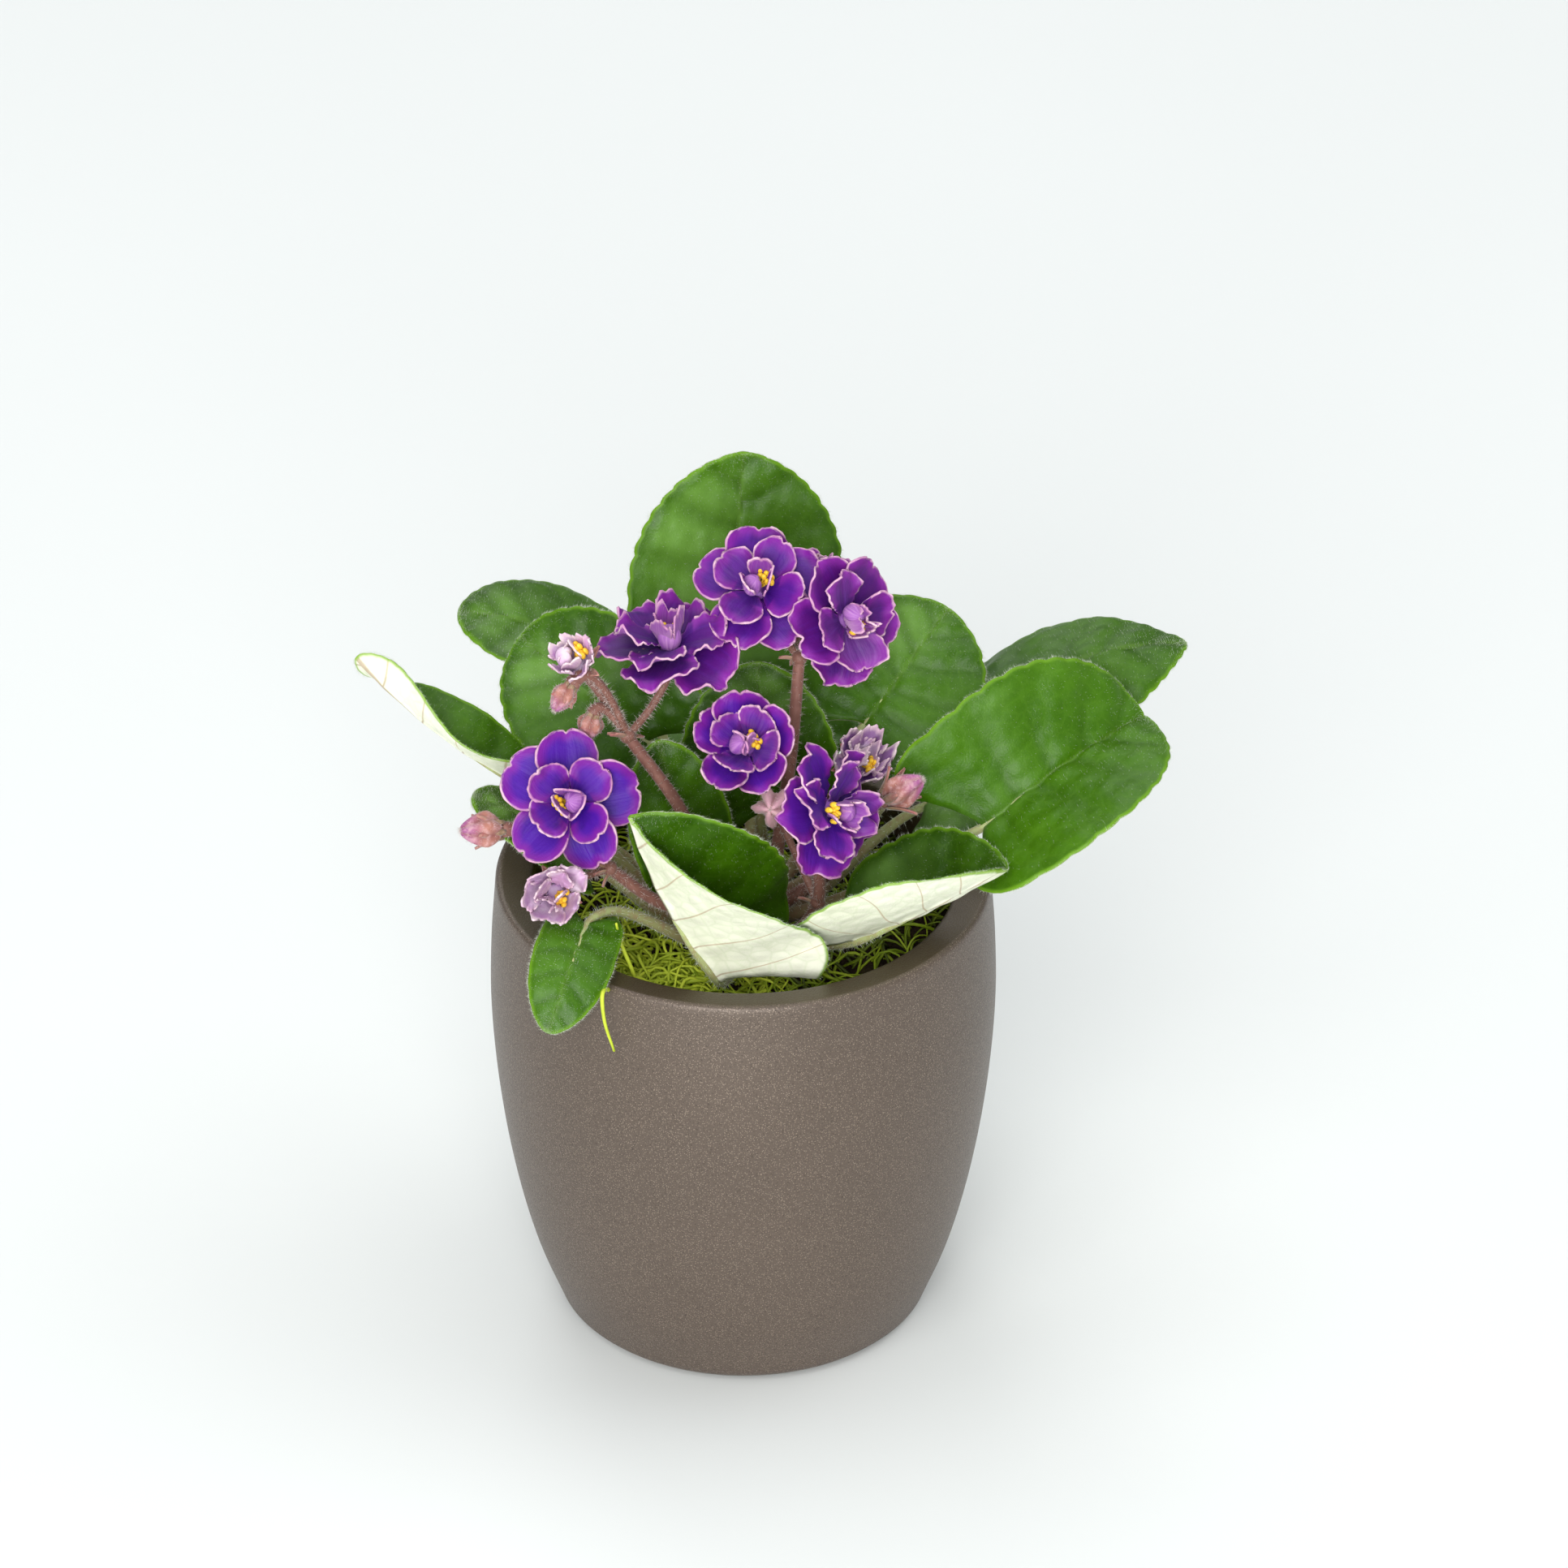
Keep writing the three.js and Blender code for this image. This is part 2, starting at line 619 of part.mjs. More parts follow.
function bloomGeometry(bloom) {
  const pieces = [coreGeometry()];
  bloom.layers.forEach((layer, ring) => {
    const { count, step = 360 / count, from = 37 * ring } = layer;
    for (let i = 0; i < count; i += 1) {
      const odd = i % 2 ? 1 : -1;
      const petal = {
        ...layer,
        root: RING_ROOTS[ring],
        length: layer.length * bloom.size,
        width: layer.width * bloom.size,
        rise: layer.rise + 2 * odd,
        azimuth: from + step * i + 3 * odd,
      };
      pieces.push(petalGeometry(petal));
    }
  });
  return placed(fuse(pieces), bloom);
}

// A cluster of plump yellow anthers on one short foot, beside the inner petals.
function stamensGeometry(bloom) {
  const lobe = (x, y, z, turn) => {
    const bean = new THREE.OctahedronGeometry(1, 0);
    bean.scale(1.2, 0.9, 1.7);
    bean.rotateZ(radians(turn));
    bean.translate(x, y, z);
    return bean;
  };
  const start = CORE.front + GAP;
  const foot = new THREE.LineCurve3(
    new THREE.Vector3(0.9, 0, start),
    new THREE.Vector3(1.1, 0, start + 2.4),
  );
  const pieces = [stem(foot, [0.6, 0.6], 1, 4), lobe(1.4, 0.9, 5, 20), lobe(1.5, -0.9, 4.6, -30)];
  return placed(fuse(pieces), bloom);
}

// ------------------------------------------------------------------------ buds

const BUDS = [
  { name: "bud_left", at: [-70, -31, 168], facing: [-0.75, -0.2, 0.1], length: 11, radius: 4.6 },
  { name: "bud_front", at: [8, -24, 171], facing: [-0.2, -0.85, 0.3], length: 8, radius: 4.8 },
  { name: "bud_right", at: [43, -17, 172], facing: [0.75, -0.1, 0.55], length: 12, radius: 4.4 },
  { name: "bud_hanging", at: [-41, -14, 190], facing: [-0.3, -0.3, -0.8], length: 7, radius: 3.4 },
  { name: "bud_upper_left", at: [-48, -19, 202], facing: [-0.5, -0.4, -0.6], length: 8, radius: 3.2 },
];
const BUD_RIBS = 5;

// A closed, five-ribbed bud along +Z, fattest below the middle.
function budGeometry(bud) {
  const profile = [
    [0, -0.5],
    [0.5, -0.46],
    [1, -0.12],
    [0.78, 0.2],
    [0.3, 0.5],
    [0, 0.5],
  ].map(([r, z]) => new THREE.Vector2(r * bud.radius, z * bud.length));
  const shape = turned(profile, BUD_RIBS * 2);
  const position = shape.getAttribute("position");
  for (let i = 0; i < position.count; i += 1) {
    const turn = Math.atan2(position.getY(i), position.getX(i));
    const rib = 1 - 0.13 * Math.cos(BUD_RIBS * turn);
    position.setXYZ(i, position.getX(i) * rib, position.getY(i) * rib, position.getZ(i));
  }
  return placed(shape, bud);
}

// ---------------------------------------------------------------------- stalks
// root: azimuth and height where the stalk leaves the crown.   path: its bends.
// heads: what it carries, with the bend number each side shoot springs from.

const STALKS = [
  {
    name: "stalk_upper_left", root: [250, 127], path: [[-10, -18, 147], [-17, -17, 166], [-31, -14, 187]],
    heads: [
      { of: "bloom_top_left", from: 2 },
      { of: "bloom_opening", from: 2 },
      { of: "bud_hanging", from: 2 },
      { of: "bud_upper_left", from: 2 },
    ],
  },
  {
    name: "stalk_top", root: [304, 128], path: [[9, -10, 147], [13, -6, 178], [15, 0, 203]],
    heads: [
      { of: "bloom_top", from: 2 },
      { of: "bloom_top_back", from: 2 },
      { of: "bloom_top_right", from: 2 },
    ],
  },
  {
    name: "stalk_front", root: [290, 119], path: [[14, -23, 130], [20, -28, 143], [20, -29, 160]],
    heads: [
      { of: "bloom_right", from: 2 },
      { of: "bloom_middle", from: 1 },
      { of: "bud_front", from: 2 },
    ],
  },
  {
    name: "stalk_right", root: [335, 128], path: [[25, -4, 139], [32, -5, 154]],
    heads: [
      { of: "bloom_faded_right", from: 1 },
      { of: "bud_right", from: 1 },
    ],
  },
  {
    name: "stalk_left", root: [228, 128], path: [[-22, -19, 137], [-36, -25, 152]],
    heads: [
      { of: "bloom_left", from: 1 },
      { of: "bloom_faded_left", from: 1 },
      { of: "bud_left", from: 1 },
    ],
  },
];
const STALK = { foot: 2, node: 1.6, swelling: 2.3, shoot: 1.1, cup: 2.5 };

// A side shoot from a bend of the stalk to the back of a bloom or bud. It flares
// into a cup that stops just short of it.
function shootGeometry(from, item, back) {
  const facing = vec(item.facing).normalize();
  const end = vec(item.at).addScaledVector(facing, -back - GAP);
  const middle = end.clone().addScaledVector(facing, -from.distanceTo(end) * 0.45);
  const curve = new THREE.QuadraticBezierCurve3(from, middle, end);
  const { shoot, cup } = STALK;
  return stem(curve, [shoot, shoot, shoot, shoot, cup], 4, 5);
}

function stalkGeometry(stalk) {
  const [azimuth, height] = stalk.root;
  const foot = polar(CROWN.radius + STALK.foot + GAP, azimuth, height);
  const bends = stalk.path.map(vec);
  const main = new THREE.CatmullRomCurve3([foot, ...bends]);
  const pieces = [stem(main, [STALK.foot, STALK.node], 2 * bends.length + 1, 5)];
  for (const bend of new Set(stalk.heads.map(({ from }) => from))) {
    const node = new THREE.IcosahedronGeometry(STALK.swelling, 0);
    pieces.push(node.translate(...stalk.path[bend]));
  }
  for (const { of, from } of stalk.heads) {
    const bloom = BLOOMS.find(({ name }) => name === of);
    const bud = BUDS.find(({ name }) => name === of);
    const back = bloom ? CORE.back : bud.length / 2;
    pieces.push(shootGeometry(bends[from], bloom ?? bud, back));
  }
  return fuse(pieces);
}

// ------------------------------------------------------------------- assembling

const plant = new THREE.Group();

function add(name, geometry, material) {
  const mesh = new THREE.Mesh(geometry, material);
  mesh.name = name;
  plant.add(mesh);
}

add("pot", potGeometry(), FINISH.pot);
add("soil", soilGeometry(), FINISH.soil);
add("moss", mossGeometry(), FINISH.moss);
add("crown", crownGeometry(), FINISH.crown);
for (const leaf of LEAVES) {
  add(leaf.name, leafGeometry(leaf), FINISH.leaf);
}

for (const stalk of STALKS) {
  add(stalk.name, stalkGeometry(stalk), FINISH.stalk);
}
for (const bloom of BLOOMS) {
  add(bloom.name, bloomGeometry(bloom), bloom.layers === FADED ? FINISH.faded : FINISH.petal);
  add(bloom.name.replace("bloom", "anthers"), stamensGeometry(bloom), FINISH.anther);
}
for (const bud of BUDS) {
  add(bud.name, budGeometry(bud), FINISH.bud);
}

export default plant;
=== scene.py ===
"""A potted African violet: velvety scalloped leaves, double frilled blooms, moss and a
glazed pot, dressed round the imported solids.

Tables and shapes are in millimetres and turn into metres when a mesh is made. +Z is
up, the origin is the centre of the pot's underside, and the plant's best side faces -Y.
"""

import math

import bpy
import numpy as np
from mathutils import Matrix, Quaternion, Vector, noise


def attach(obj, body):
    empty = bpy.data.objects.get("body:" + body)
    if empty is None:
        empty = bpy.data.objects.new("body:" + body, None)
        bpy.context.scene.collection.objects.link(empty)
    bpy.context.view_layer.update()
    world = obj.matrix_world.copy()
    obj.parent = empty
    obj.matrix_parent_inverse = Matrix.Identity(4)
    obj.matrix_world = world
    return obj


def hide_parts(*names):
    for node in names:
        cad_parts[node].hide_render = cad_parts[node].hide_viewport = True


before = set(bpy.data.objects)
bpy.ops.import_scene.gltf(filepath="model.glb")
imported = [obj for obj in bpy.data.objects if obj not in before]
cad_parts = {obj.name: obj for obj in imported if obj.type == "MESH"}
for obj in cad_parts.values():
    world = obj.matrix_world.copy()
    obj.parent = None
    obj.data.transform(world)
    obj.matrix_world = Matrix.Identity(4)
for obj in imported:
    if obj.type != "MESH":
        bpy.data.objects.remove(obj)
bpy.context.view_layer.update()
MM = 0.001
TURN = 6.3  # just over a full turn, in radians
BODY, FIBRE, EXTRA = range(3)  # places in a piece's list of finishes
rng = np.random.default_rng(7)

# ---------------------------------------------------------------- driving sizes

# The pot's outside as (height, radius), then its lower edge and rim as (radius, height).
POT_OUTSIDE = [
    (0, 48), (3, 52.4), (20, 58.5), (41, 63.6), (68, 67.7), (95, 69.6),
    (115, 69.2), (133.6, 67.8), (135, 66.6),
]
POT_EDGE = [(46.5, 0), (48.5, 0.3), (50.5, 1.2), (52.4, 3)]
POT_RIM = [(67.8, 133.6), (67.4, 134.6), (66.6, 135), (65.2, 134.9)]
POT = {"height": 135, "wall": 6, "floor": 7, "lip": 9, "lip_drop": 1.6}
SOIL_TOP = 112
GAP = 0.3
MOSS = {"rise": 4.5, "bump": 1.8, "hole": 19, "strands": 620, "curls": 330, "edge": 2.5}
CROWN = {"radius": 9.5, "neck": 7, "depth": 10, "top": 130}
OUTLINE = {"widest": 0.4, "lobe_end": 0.1, "lobe_cut": 0.2, "lobe_back": 0.2}
LEAF = {"thickness": 0.9, "tooth": 0.8, "tooth_pitch": 4.2, "petiole_foot": 2.1, "petiole_end": 1.2}
QUILT = {
    "puff": 0.9, "link": 0.22, "link_pitch": 6.5, "ripple": 0.8, "groove": 0.7, "keel": 0.9, "rib": 1.1,
}
PETAL = {"thickness": 0.45, "lean": 0.28, "claw": 0.085, "widest": 0.62, "notch": 0.05, "crease": 0.3}
FRILL = {"reach": 3.5, "broad": 0.8, "fine": 0.24}
CORE = {"radius": 2.6, "back": 2.2, "front": 2.4}
RING_ROOTS = [(1.8, 0), (1.6, 1), (1, 2)]
HOOD = {"radius": 2.7, "back": -1.7, "height": 2.9, "tilt": 22, "breadth": 1.12, "tall": 1.3}
STALK = {"foot": 2, "node": 1.6, "swelling": 2.185}
SHOOT_RADII = (1.2, 1.1, 1.05, 1.05, 1.1, 1.2, 1.7, 2.3)
SEPAL = {"width": 2.4, "thickness": 0.36}

# How far a petal may stray from its ring, in degrees or as a share.
STRAY = {"rise": 8, "bend": 14, "cup": 0.12, "lean": 0.16, "azimuth": 9}

# Hairs: their length, radius and number.
HAIRS = {
    "edge": (1.0, 0.04, 420), "upper": (0.65, 0.028, 1300), "lower": (0.65, 0.028, 400),
    "stem": (1.5, 0.055, 420), "bud": (1.0, 0.05, 260),
}

# Half outlines, as (radius, height): a ball of radius 1 and a bud of radius and length 1.
BALL = [(0.02, -1), (0.72, -0.7), (1, 0), (0.72, 0.7), (0.02, 1)]
BUD = [(0.12, -0.5), (0.5, -0.46), (1, -0.12), (0.78, 0.2), (0.3, 0.5), (0.02, 0.52)]

# Each pair of pollen sacs: its middle, from the middle of the bloom, and its turn.
ANTHERS = [(2.4, 1.3, 5.6, 35), (2.8, -0.8, 5.2, -30), (1.5, 2.6, 4.8, 70), (3.4, 0.4, 4.4, 10)]

# Moss strands, loose or tightly curled. `end`: how thick the tip is, as a share of the
# foot. `sunk`: how far the foot is below the top. `shade`: how much darker on the right, as painted
# shade.
LOOSE = dict(length=(12, 30), rise=(0.3, 1.3), curl=1.4, thick=(0.3, 0.5), end=0.5,
             sunk=1.2, tone=(0, 1), shade=0.6)
CURLED = dict(length=(10, 22), rise=(0.6, 1.6), curl=3.2, thick=(0.4, 0.62), end=0.4,
              sunk=0.6, tone=(0.3, 1), shade=0)
STRAYS = [
    [(-27, -44, 117), (-29, -43, 128), (-33, -41, 139), (-34, -43, 146)],
    [(-22, -40, 117), (-26, -41, 126), (-34, -44, 129), (-39, -47, 124)],
    [(-33, -50, 121), (-36, -57, 134), (-37.5, -63, 136.5), (-37, -64.5, 129), (-34.5, -64, 119)],
    [(34, -38, 117), (40, -41, 122), (49, -40, 124), (55, -36, 120)],
    [(20, -48, 116), (28, -49, 121), (36, -46, 121), (42, -42, 118)],
]


def table(columns, rows, **usual):
    """Rows as dicts. A row may end with a dict of what is unusual about it."""
    names = columns.split()
    return [{**usual, **dict(zip(names, row)), **dict(*row[len(names):])} for row in rows]


# base, tip: ends of the midrib. face: the way the upper face looks. width: across both
# halves. arch: how far the midrib bows to the face. fold: degrees each half is raised,
# left and right. curl: further turn to the edge. root: azimuth and height at the crown.
# lobes: width of each half at the base, as a share of its widest. taper: over 0.6 for a
# keener tip, left and right. twist: degrees at base, middle and tip. tone: how light.
LEAVES = table("name base tip face width arch fold curl root tone", [
    ("back_tall", (-3, 34, 180), (0, 50, 238), (0.17, -0.96, 0.23),
     60, -2.6, (7, 2), (-2, 2), (98, 127), 0.55),
    ("left_back", (-36, 58, 168), (-79, 58, 183), (0.41, -0.32, 0.86),
     43, 3.9, (8, -2), (4, -15), (134, 127), 0.25),
    ("left_upper", (-26, 14, 168), (-61, 37, 188), (-0.2, -0.8, 0.55),
     48, 3.3, (10, 8), (12, 8), (160, 127), 0.4),
    ("left_far", (-52, -6, 163), (-104, 4, 201), (0.1, 0.5, 0.85),
     25, -3.5, (34, 20), (20, 5), (180, 121), 0.35, dict(twist=(20, -45, 62))),
    ("left_low", (-44, -17, 150), (-73, -15, 169), (0, -0.3, 0.95),
     26, 2.6, (8, -16), (5, -5), (200, 119), 0.15),
    ("over_rim", (-42, -43, 146), (-52, -69, 128), (0.1, -0.62, 0.78),
     22, 5, (0, 0), (-12, -12), (236, 118), 0.6, dict(lobes=(0.75, 0.75))),
    ("front_keeled", (-6, -43, 128), (-30, -48, 183), (0.9, 0.05, 0.41),
     66, -3, (66, 48), (12, 16), (262, 120), 0.3,
     dict(lobes=(0.9, 0.45), taper=(1.3, 0.5), twist=(4, -22, -40))),
    ("front_right", (30, -32, 134), (68, -43, 163), (-0.26, 0.63, 0.71),
     66, -1, (-14, -6), (104, 22), (309, 120), 0.15, dict(lobes=(0.75, 0.42))),
    ("right_big", (65, -12, 157), (109, 16, 175), (0.1, -0.56, 0.82),
     62, 6, (20, 25), (16, 12), (351, 122), 0.7, dict(lobes=(0.92, 0.5))),
    ("right_back", (67, 35, 167), (122, 44, 181), (-0.26, -0.16, 0.95),
     49, 5.6, (-5, 7), (-10, -41), (12, 127), 0.45, dict(taper=(0.85, 0.85))),
    ("right_upper", (33, 15, 173), (56, 40, 195), (0.0, -0.72, 0.66),
     49, 0.4, (0, 4), (-6, -2), (34, 128), 0.55),
    ("middle", (5, 10, 148), (4, 13, 194), (-0.05, -0.95, 0.1),
     43, 2, (3, 5), (0, 6), (66, 125), 0.2),
    ("middle_left", (-14, -9, 141), (-23, -8, 182), (0.05, -0.9, 0.4),
     28, 1, (4, 4), (2, 2), (206, 128), 0.2),
    ("rear_left", (-30, 42, 143), (-50, 78, 150), (-0.2, 0.1, 0.97),
     44, 5, (6, 6), (-8, -8), (121, 119), 0.4),
    ("rear_middle", (3, 48, 142), (6, 98, 156), (0, 0.2, 0.98),
     50, 5, (6, 6), (-8, -8), (86, 118), 0.5),
    ("rear_right", (34, 40, 150), (54, 74, 158), (0.2, 0.1, 0.97),
     44, 5, (6, 6), (-8, -8), (52, 121), 0.35),
    ("low_right", (50, 22, 143), (94, 40, 147), (0.1, 0, 0.99),
     42, 5, (6, 6), (-8, -8), (17, 119), 0.3),
    ("low_left", (-44, 12, 141), (-70, 25, 140), (-0.1, 0, 0.99),
     30, 5, (6, 6), (-8, -8), (164, 119), 0.3),
], lobes=(0.62, 0.62), taper=(0.6, 0.6), twist=(0, 0, 0))

# Rings of petals from the outermost in. Each petal leaves the middle at an angle
# `rise`, bends by `bend`, is cupped by `cup` and has a frill of height `wave`. `pale`
# is how far its colour has gone to lilac, `stray` how unlike its ring it may be and
# `start` where the ring begins, in degrees.
RING = "count length width rise bend cup wave pale stray start"
DOUBLE = table(RING, [
    (5, 18, 19, 10, -12, 0.1, 1.0, 0, 0.6, 0),
    (4, 14.5, 14.5, 28, -12, 0.2, 1.0, 0.04, 1, 37),
    (3, 9.5, 8.5, 52, 40, 0.55, 0.7, 0.3, 1.6, 70),
])
OPEN = table(RING, [
    (5, 17.5, 16.5, 10, -12, 0.12, 0.9, 0, 0.7, 0),
    (4, 13, 12, 36, -8, 0.22, 0.9, 0.05, 1.3, 30),
    (3, 8.5, 7.5, 60, 30, 0.5, 0.6, 0.4, 1.6, 70),
])
CUPPED = table(RING, [
    (5, 15, 15.5, 22, 10, 0.2, 0.9, 0, 0.7, 0),
    (4, 12.5, 12.5, 40, 16, 0.3, 0.8, 0.04, 1.2, 37),
    (3, 8.5, 7.5, 58, 36, 0.5, 0.6, 0.25, 1.6, 70),
])
FADED = table(RING, [
    (5, 12, 10.5, 40, 18, 0.5, 2.2, 0.45, 1.2, 0),
    (4, 9.5, 8, 58, 26, 0.6, 1.6, 0.7, 1.8, 30),
])
OPENING = table(RING, [
    (5, 9, 9, 38, 26, 0.5, 1.4, 0.8, 1.2, 0),
    (3, 8, 7, 66, 30, 0.5, 0.6, 0.9, 1, 30),
])

# at: the middle of the bloom. facing: the way it looks. spin: degrees round.
# blue: how blue its violet is. eye: which way round the anthers lie from the hood.
# ruffle: how much wavier its petals are. fade: how much paler they are.
BLOOMS = table("name at facing spin size layers blue eye ruffle fade", [
    ("bloom_top", (4, 3, 222), (0, -0.6, 0.8), 20, 0.93, DOUBLE, 0.45, 20, 1.3, 0),
    ("bloom_top_back", (18, 23, 213), (0.3, 0.2, 0.9), 50, 0.72, DOUBLE, 0.1, 0, 1.4, 0),
    ("bloom_top_right", (26.5, -2, 216), (0.6, -0.7, 0.4), 0, 0.93, DOUBLE, 0.15, -60, 1.7, 0),
    ("bloom_top_left", (-19.5, -6, 209), (0, -0.1, 1), 35, 1.06, DOUBLE, 0.2, 90, 1.9, 0),
    ("bloom_left", (-46, -28, 175), (-0.1, -0.83, 0.55), 10, 1.05, OPEN, 0.9, 180, 1, 0),
    ("bloom_right", (22, -33, 176), (0.76, -0.6, 0.25), 70, 0.98, DOUBLE, 0.6, 200, 1.7, 0),
    ("bloom_middle", (1, -20, 187), (-0.1, -0.72, 0.69), 15, 0.97, CUPPED, 0.7, 0, 1.5, 0),
    ("bloom_faded_right", (30.5, -2, 170), (0.35, -0.5, 0.8), 0, 0.9, FADED, 0.4, -40, 1.4, -0.3),
    ("bloom_faded_left", (-50, -39, 154), (-0.1, -0.75, 0.3), 30, 0.95, FADED, 0.4, -60, 1.5, 0.35),
    ("bloom_opening", (-44, -12, 208), (-0.35, -0.45, 0.8), 0, 0.9, OPENING, 0.3, 0, 1, 0),
])

# crumple: how far it has shrivelled. sepals: how far its calyx lobes open, in radians.
BUDS = table("name at facing length radius crumple sepals", [
    ("bud_left", (-70, -31, 168), (-0.75, -0.2, 0.1), 11, 4.6, 0, 0.12),
    ("bud_front", (8, -24, 171), (-0.2, -0.85, 0.3), 8, 4.8, 1, 0.12),
    ("bud_right", (43, -17, 172), (0.75, -0.1, 0.55), 12, 4.4, 0, 0.45),
    ("bud_hanging", (-41, -14, 190), (-0.3, -0.3, -0.8), 7, 3.4, 0, 0.12),
    ("bud_upper_left", (-48, -19, 202), (-0.5, -0.4, -0.6), 8, 3.2, 0, 0.12),
])

# root: azimuth and height at the crown. path: the stalk's bends. heads: what it
# carries, with the number of the bend that each side shoot springs from.
STALKS = table("name root path heads", [
    ("stalk_upper_left", (250, 127), [(-10, -18, 147), (-17, -17, 166), (-31, -14, 187)],
     [("bloom_top_left", 2), ("bloom_opening", 2), ("bud_hanging", 2), ("bud_upper_left", 2)]),
    ("stalk_top", (304, 128), [(9, -10, 147), (13, -6, 178), (15, 0, 203)],
     [("bloom_top", 2), ("bloom_top_back", 2), ("bloom_top_right", 2)]),
    ("stalk_front", (290, 119), [(14, -23, 130), (20, -28, 143), (20, -29, 160)],
     [("bloom_right", 2), ("bloom_middle", 1), ("bud_front", 2)]),
    ("stalk_right", (335, 128), [(25, -4, 139), (32, -5, 154)],
     [("bloom_faded_right", 1), ("bud_right", 1)]),
    ("stalk_left", (228, 128), [(-22, -19, 137), (-36, -25, 152)],
     [("bloom_left", 1), ("bloom_faded_left", 1), ("bud_left", 1)]),
])


# ------------------------------------------------------------- points and curves

def unit(v):
    v = np.asarray(v, float)
    return v / np.maximum(np.linalg.norm(v, axis=-1, keepdims=True), 1e-9)


def polar(radius, azimuth, z):
    a = math.radians(azimuth)
    return np.array([radius * math.cos(a), radius * math.sin(a), z])


def spun(points, degrees):
    """Points turned about the upright axis."""
    c, s = math.cos(math.radians(degrees)), math.sin(math.radians(degrees))
    return points @ np.array([[c, s, 0], [-s, c, 0], [0, 0, 1]])


def placing(item):
    """A function that moves points built along +Z to an item's place and the way it faces."""
    facing = Vector((0, 0, 1)).rotation_difference(Vector(item["facing"]).normalized())
    spin = Quaternion((0, 0, 1), math.radians(item.get("spin", 0)))
    turn = np.array((facing @ spin).to_matrix()).T
    return lambda points: points @ turn + item["at"]


def turning_line(share, start, bend, length):
    """How far forwards and upwards a strip has gone at a share of its length, when
    it starts at an angle and turns by `bend` degrees, most of it near the start."""
    steps = 8
    level = np.zeros_like(share)
    raised = np.zeros_like(share)
    for i in range(steps):
        rest = 1 - np.minimum(1, (i + 0.5) / steps * share)
        angle = np.radians(start + bend * (1 - rest * rest))
        level += np.cos(angle) * share * length / steps
        raised += np.sin(angle) * share * length / steps
    return level, raised


def turned_about(vectors, axis, angles):
    """Vectors turned about an axis, each by its own angle in radians."""
    c, s = np.cos(angles)[..., None], np.sin(angles)[..., None]
    axis = np.broadcast_to(axis, vectors.shape)
    dot = (vectors * axis).sum(-1, keepdims=True)
    return vectors * c + np.cross(axis, vectors) * s + axis * dot * (1 - c)


def catmull(points, count):
    """Points along a centripetal Catmull-Rom curve through the given ones."""
    p = [np.asarray(q, float) for q in points]
    p = [2 * p[0] - p[1], *p, 2 * p[-1] - p[-2]]
    spans = len(p) - 3
    out = []
    for t in np.linspace(0, spans, count):
        k = min(int(t), spans - 1)
        w = t - k
        a, b, c, d = p[k:k + 4]
        pairs = ((a, b), (b, c), (c, d))
        d0, d1, d2 = (max(float(np.sum((y - x) ** 2)), 1e-8) ** 0.25 for x, y in pairs)
        t1 = ((b - a) / d0 - (c - a) / (d0 + d1) + (c - b) / d1) * d1
        t2 = ((c - b) / d1 - (d - b) / (d1 + d2) + (d - c) / d2) * d1
        bend = (-3 * b + 3 * c - 2 * t1 - t2) * w * w
        out.append(b + t1 * w + bend + (2 * b - 2 * c + t1 + t2) * w ** 3)
    return np.array(out)


def bezier(points, count):
    """Points along the Bezier curve of three or four control points."""
    t = np.linspace(0, 1, count)[:, None]
    rows = [np.asarray(p, float) * np.ones_like(t) for p in points]
    while len(rows) > 1:
        rows = [a * (1 - t) + b * t for a, b in zip(rows, rows[1:])]
    return rows[0]


def evenly(path, count):
    """The same path with its points evenly spaced."""
    steps = np.r_[0, np.cumsum(np.linalg.norm(np.diff(path, axis=0), axis=1))]
    at = np.linspace(0, steps[-1], count)
    return np.stack([np.interp(at, steps, path[:, i]) for i in range(3)], axis=1)


def wobble(points, scale, seed=0.0):
    """Smooth noise from -1 to 1 at each point."""
    flat = points.reshape(-1, 3) * scale
    values = [noise.noise(Vector((x + seed, y, z))) for x, y, z in flat]
    return np.array(values).reshape(points.shape[:-1])


# --------------------------------------------------------------- building meshes

CHANNELS = ("along", "across", "rib", "edge", "side", "tone")


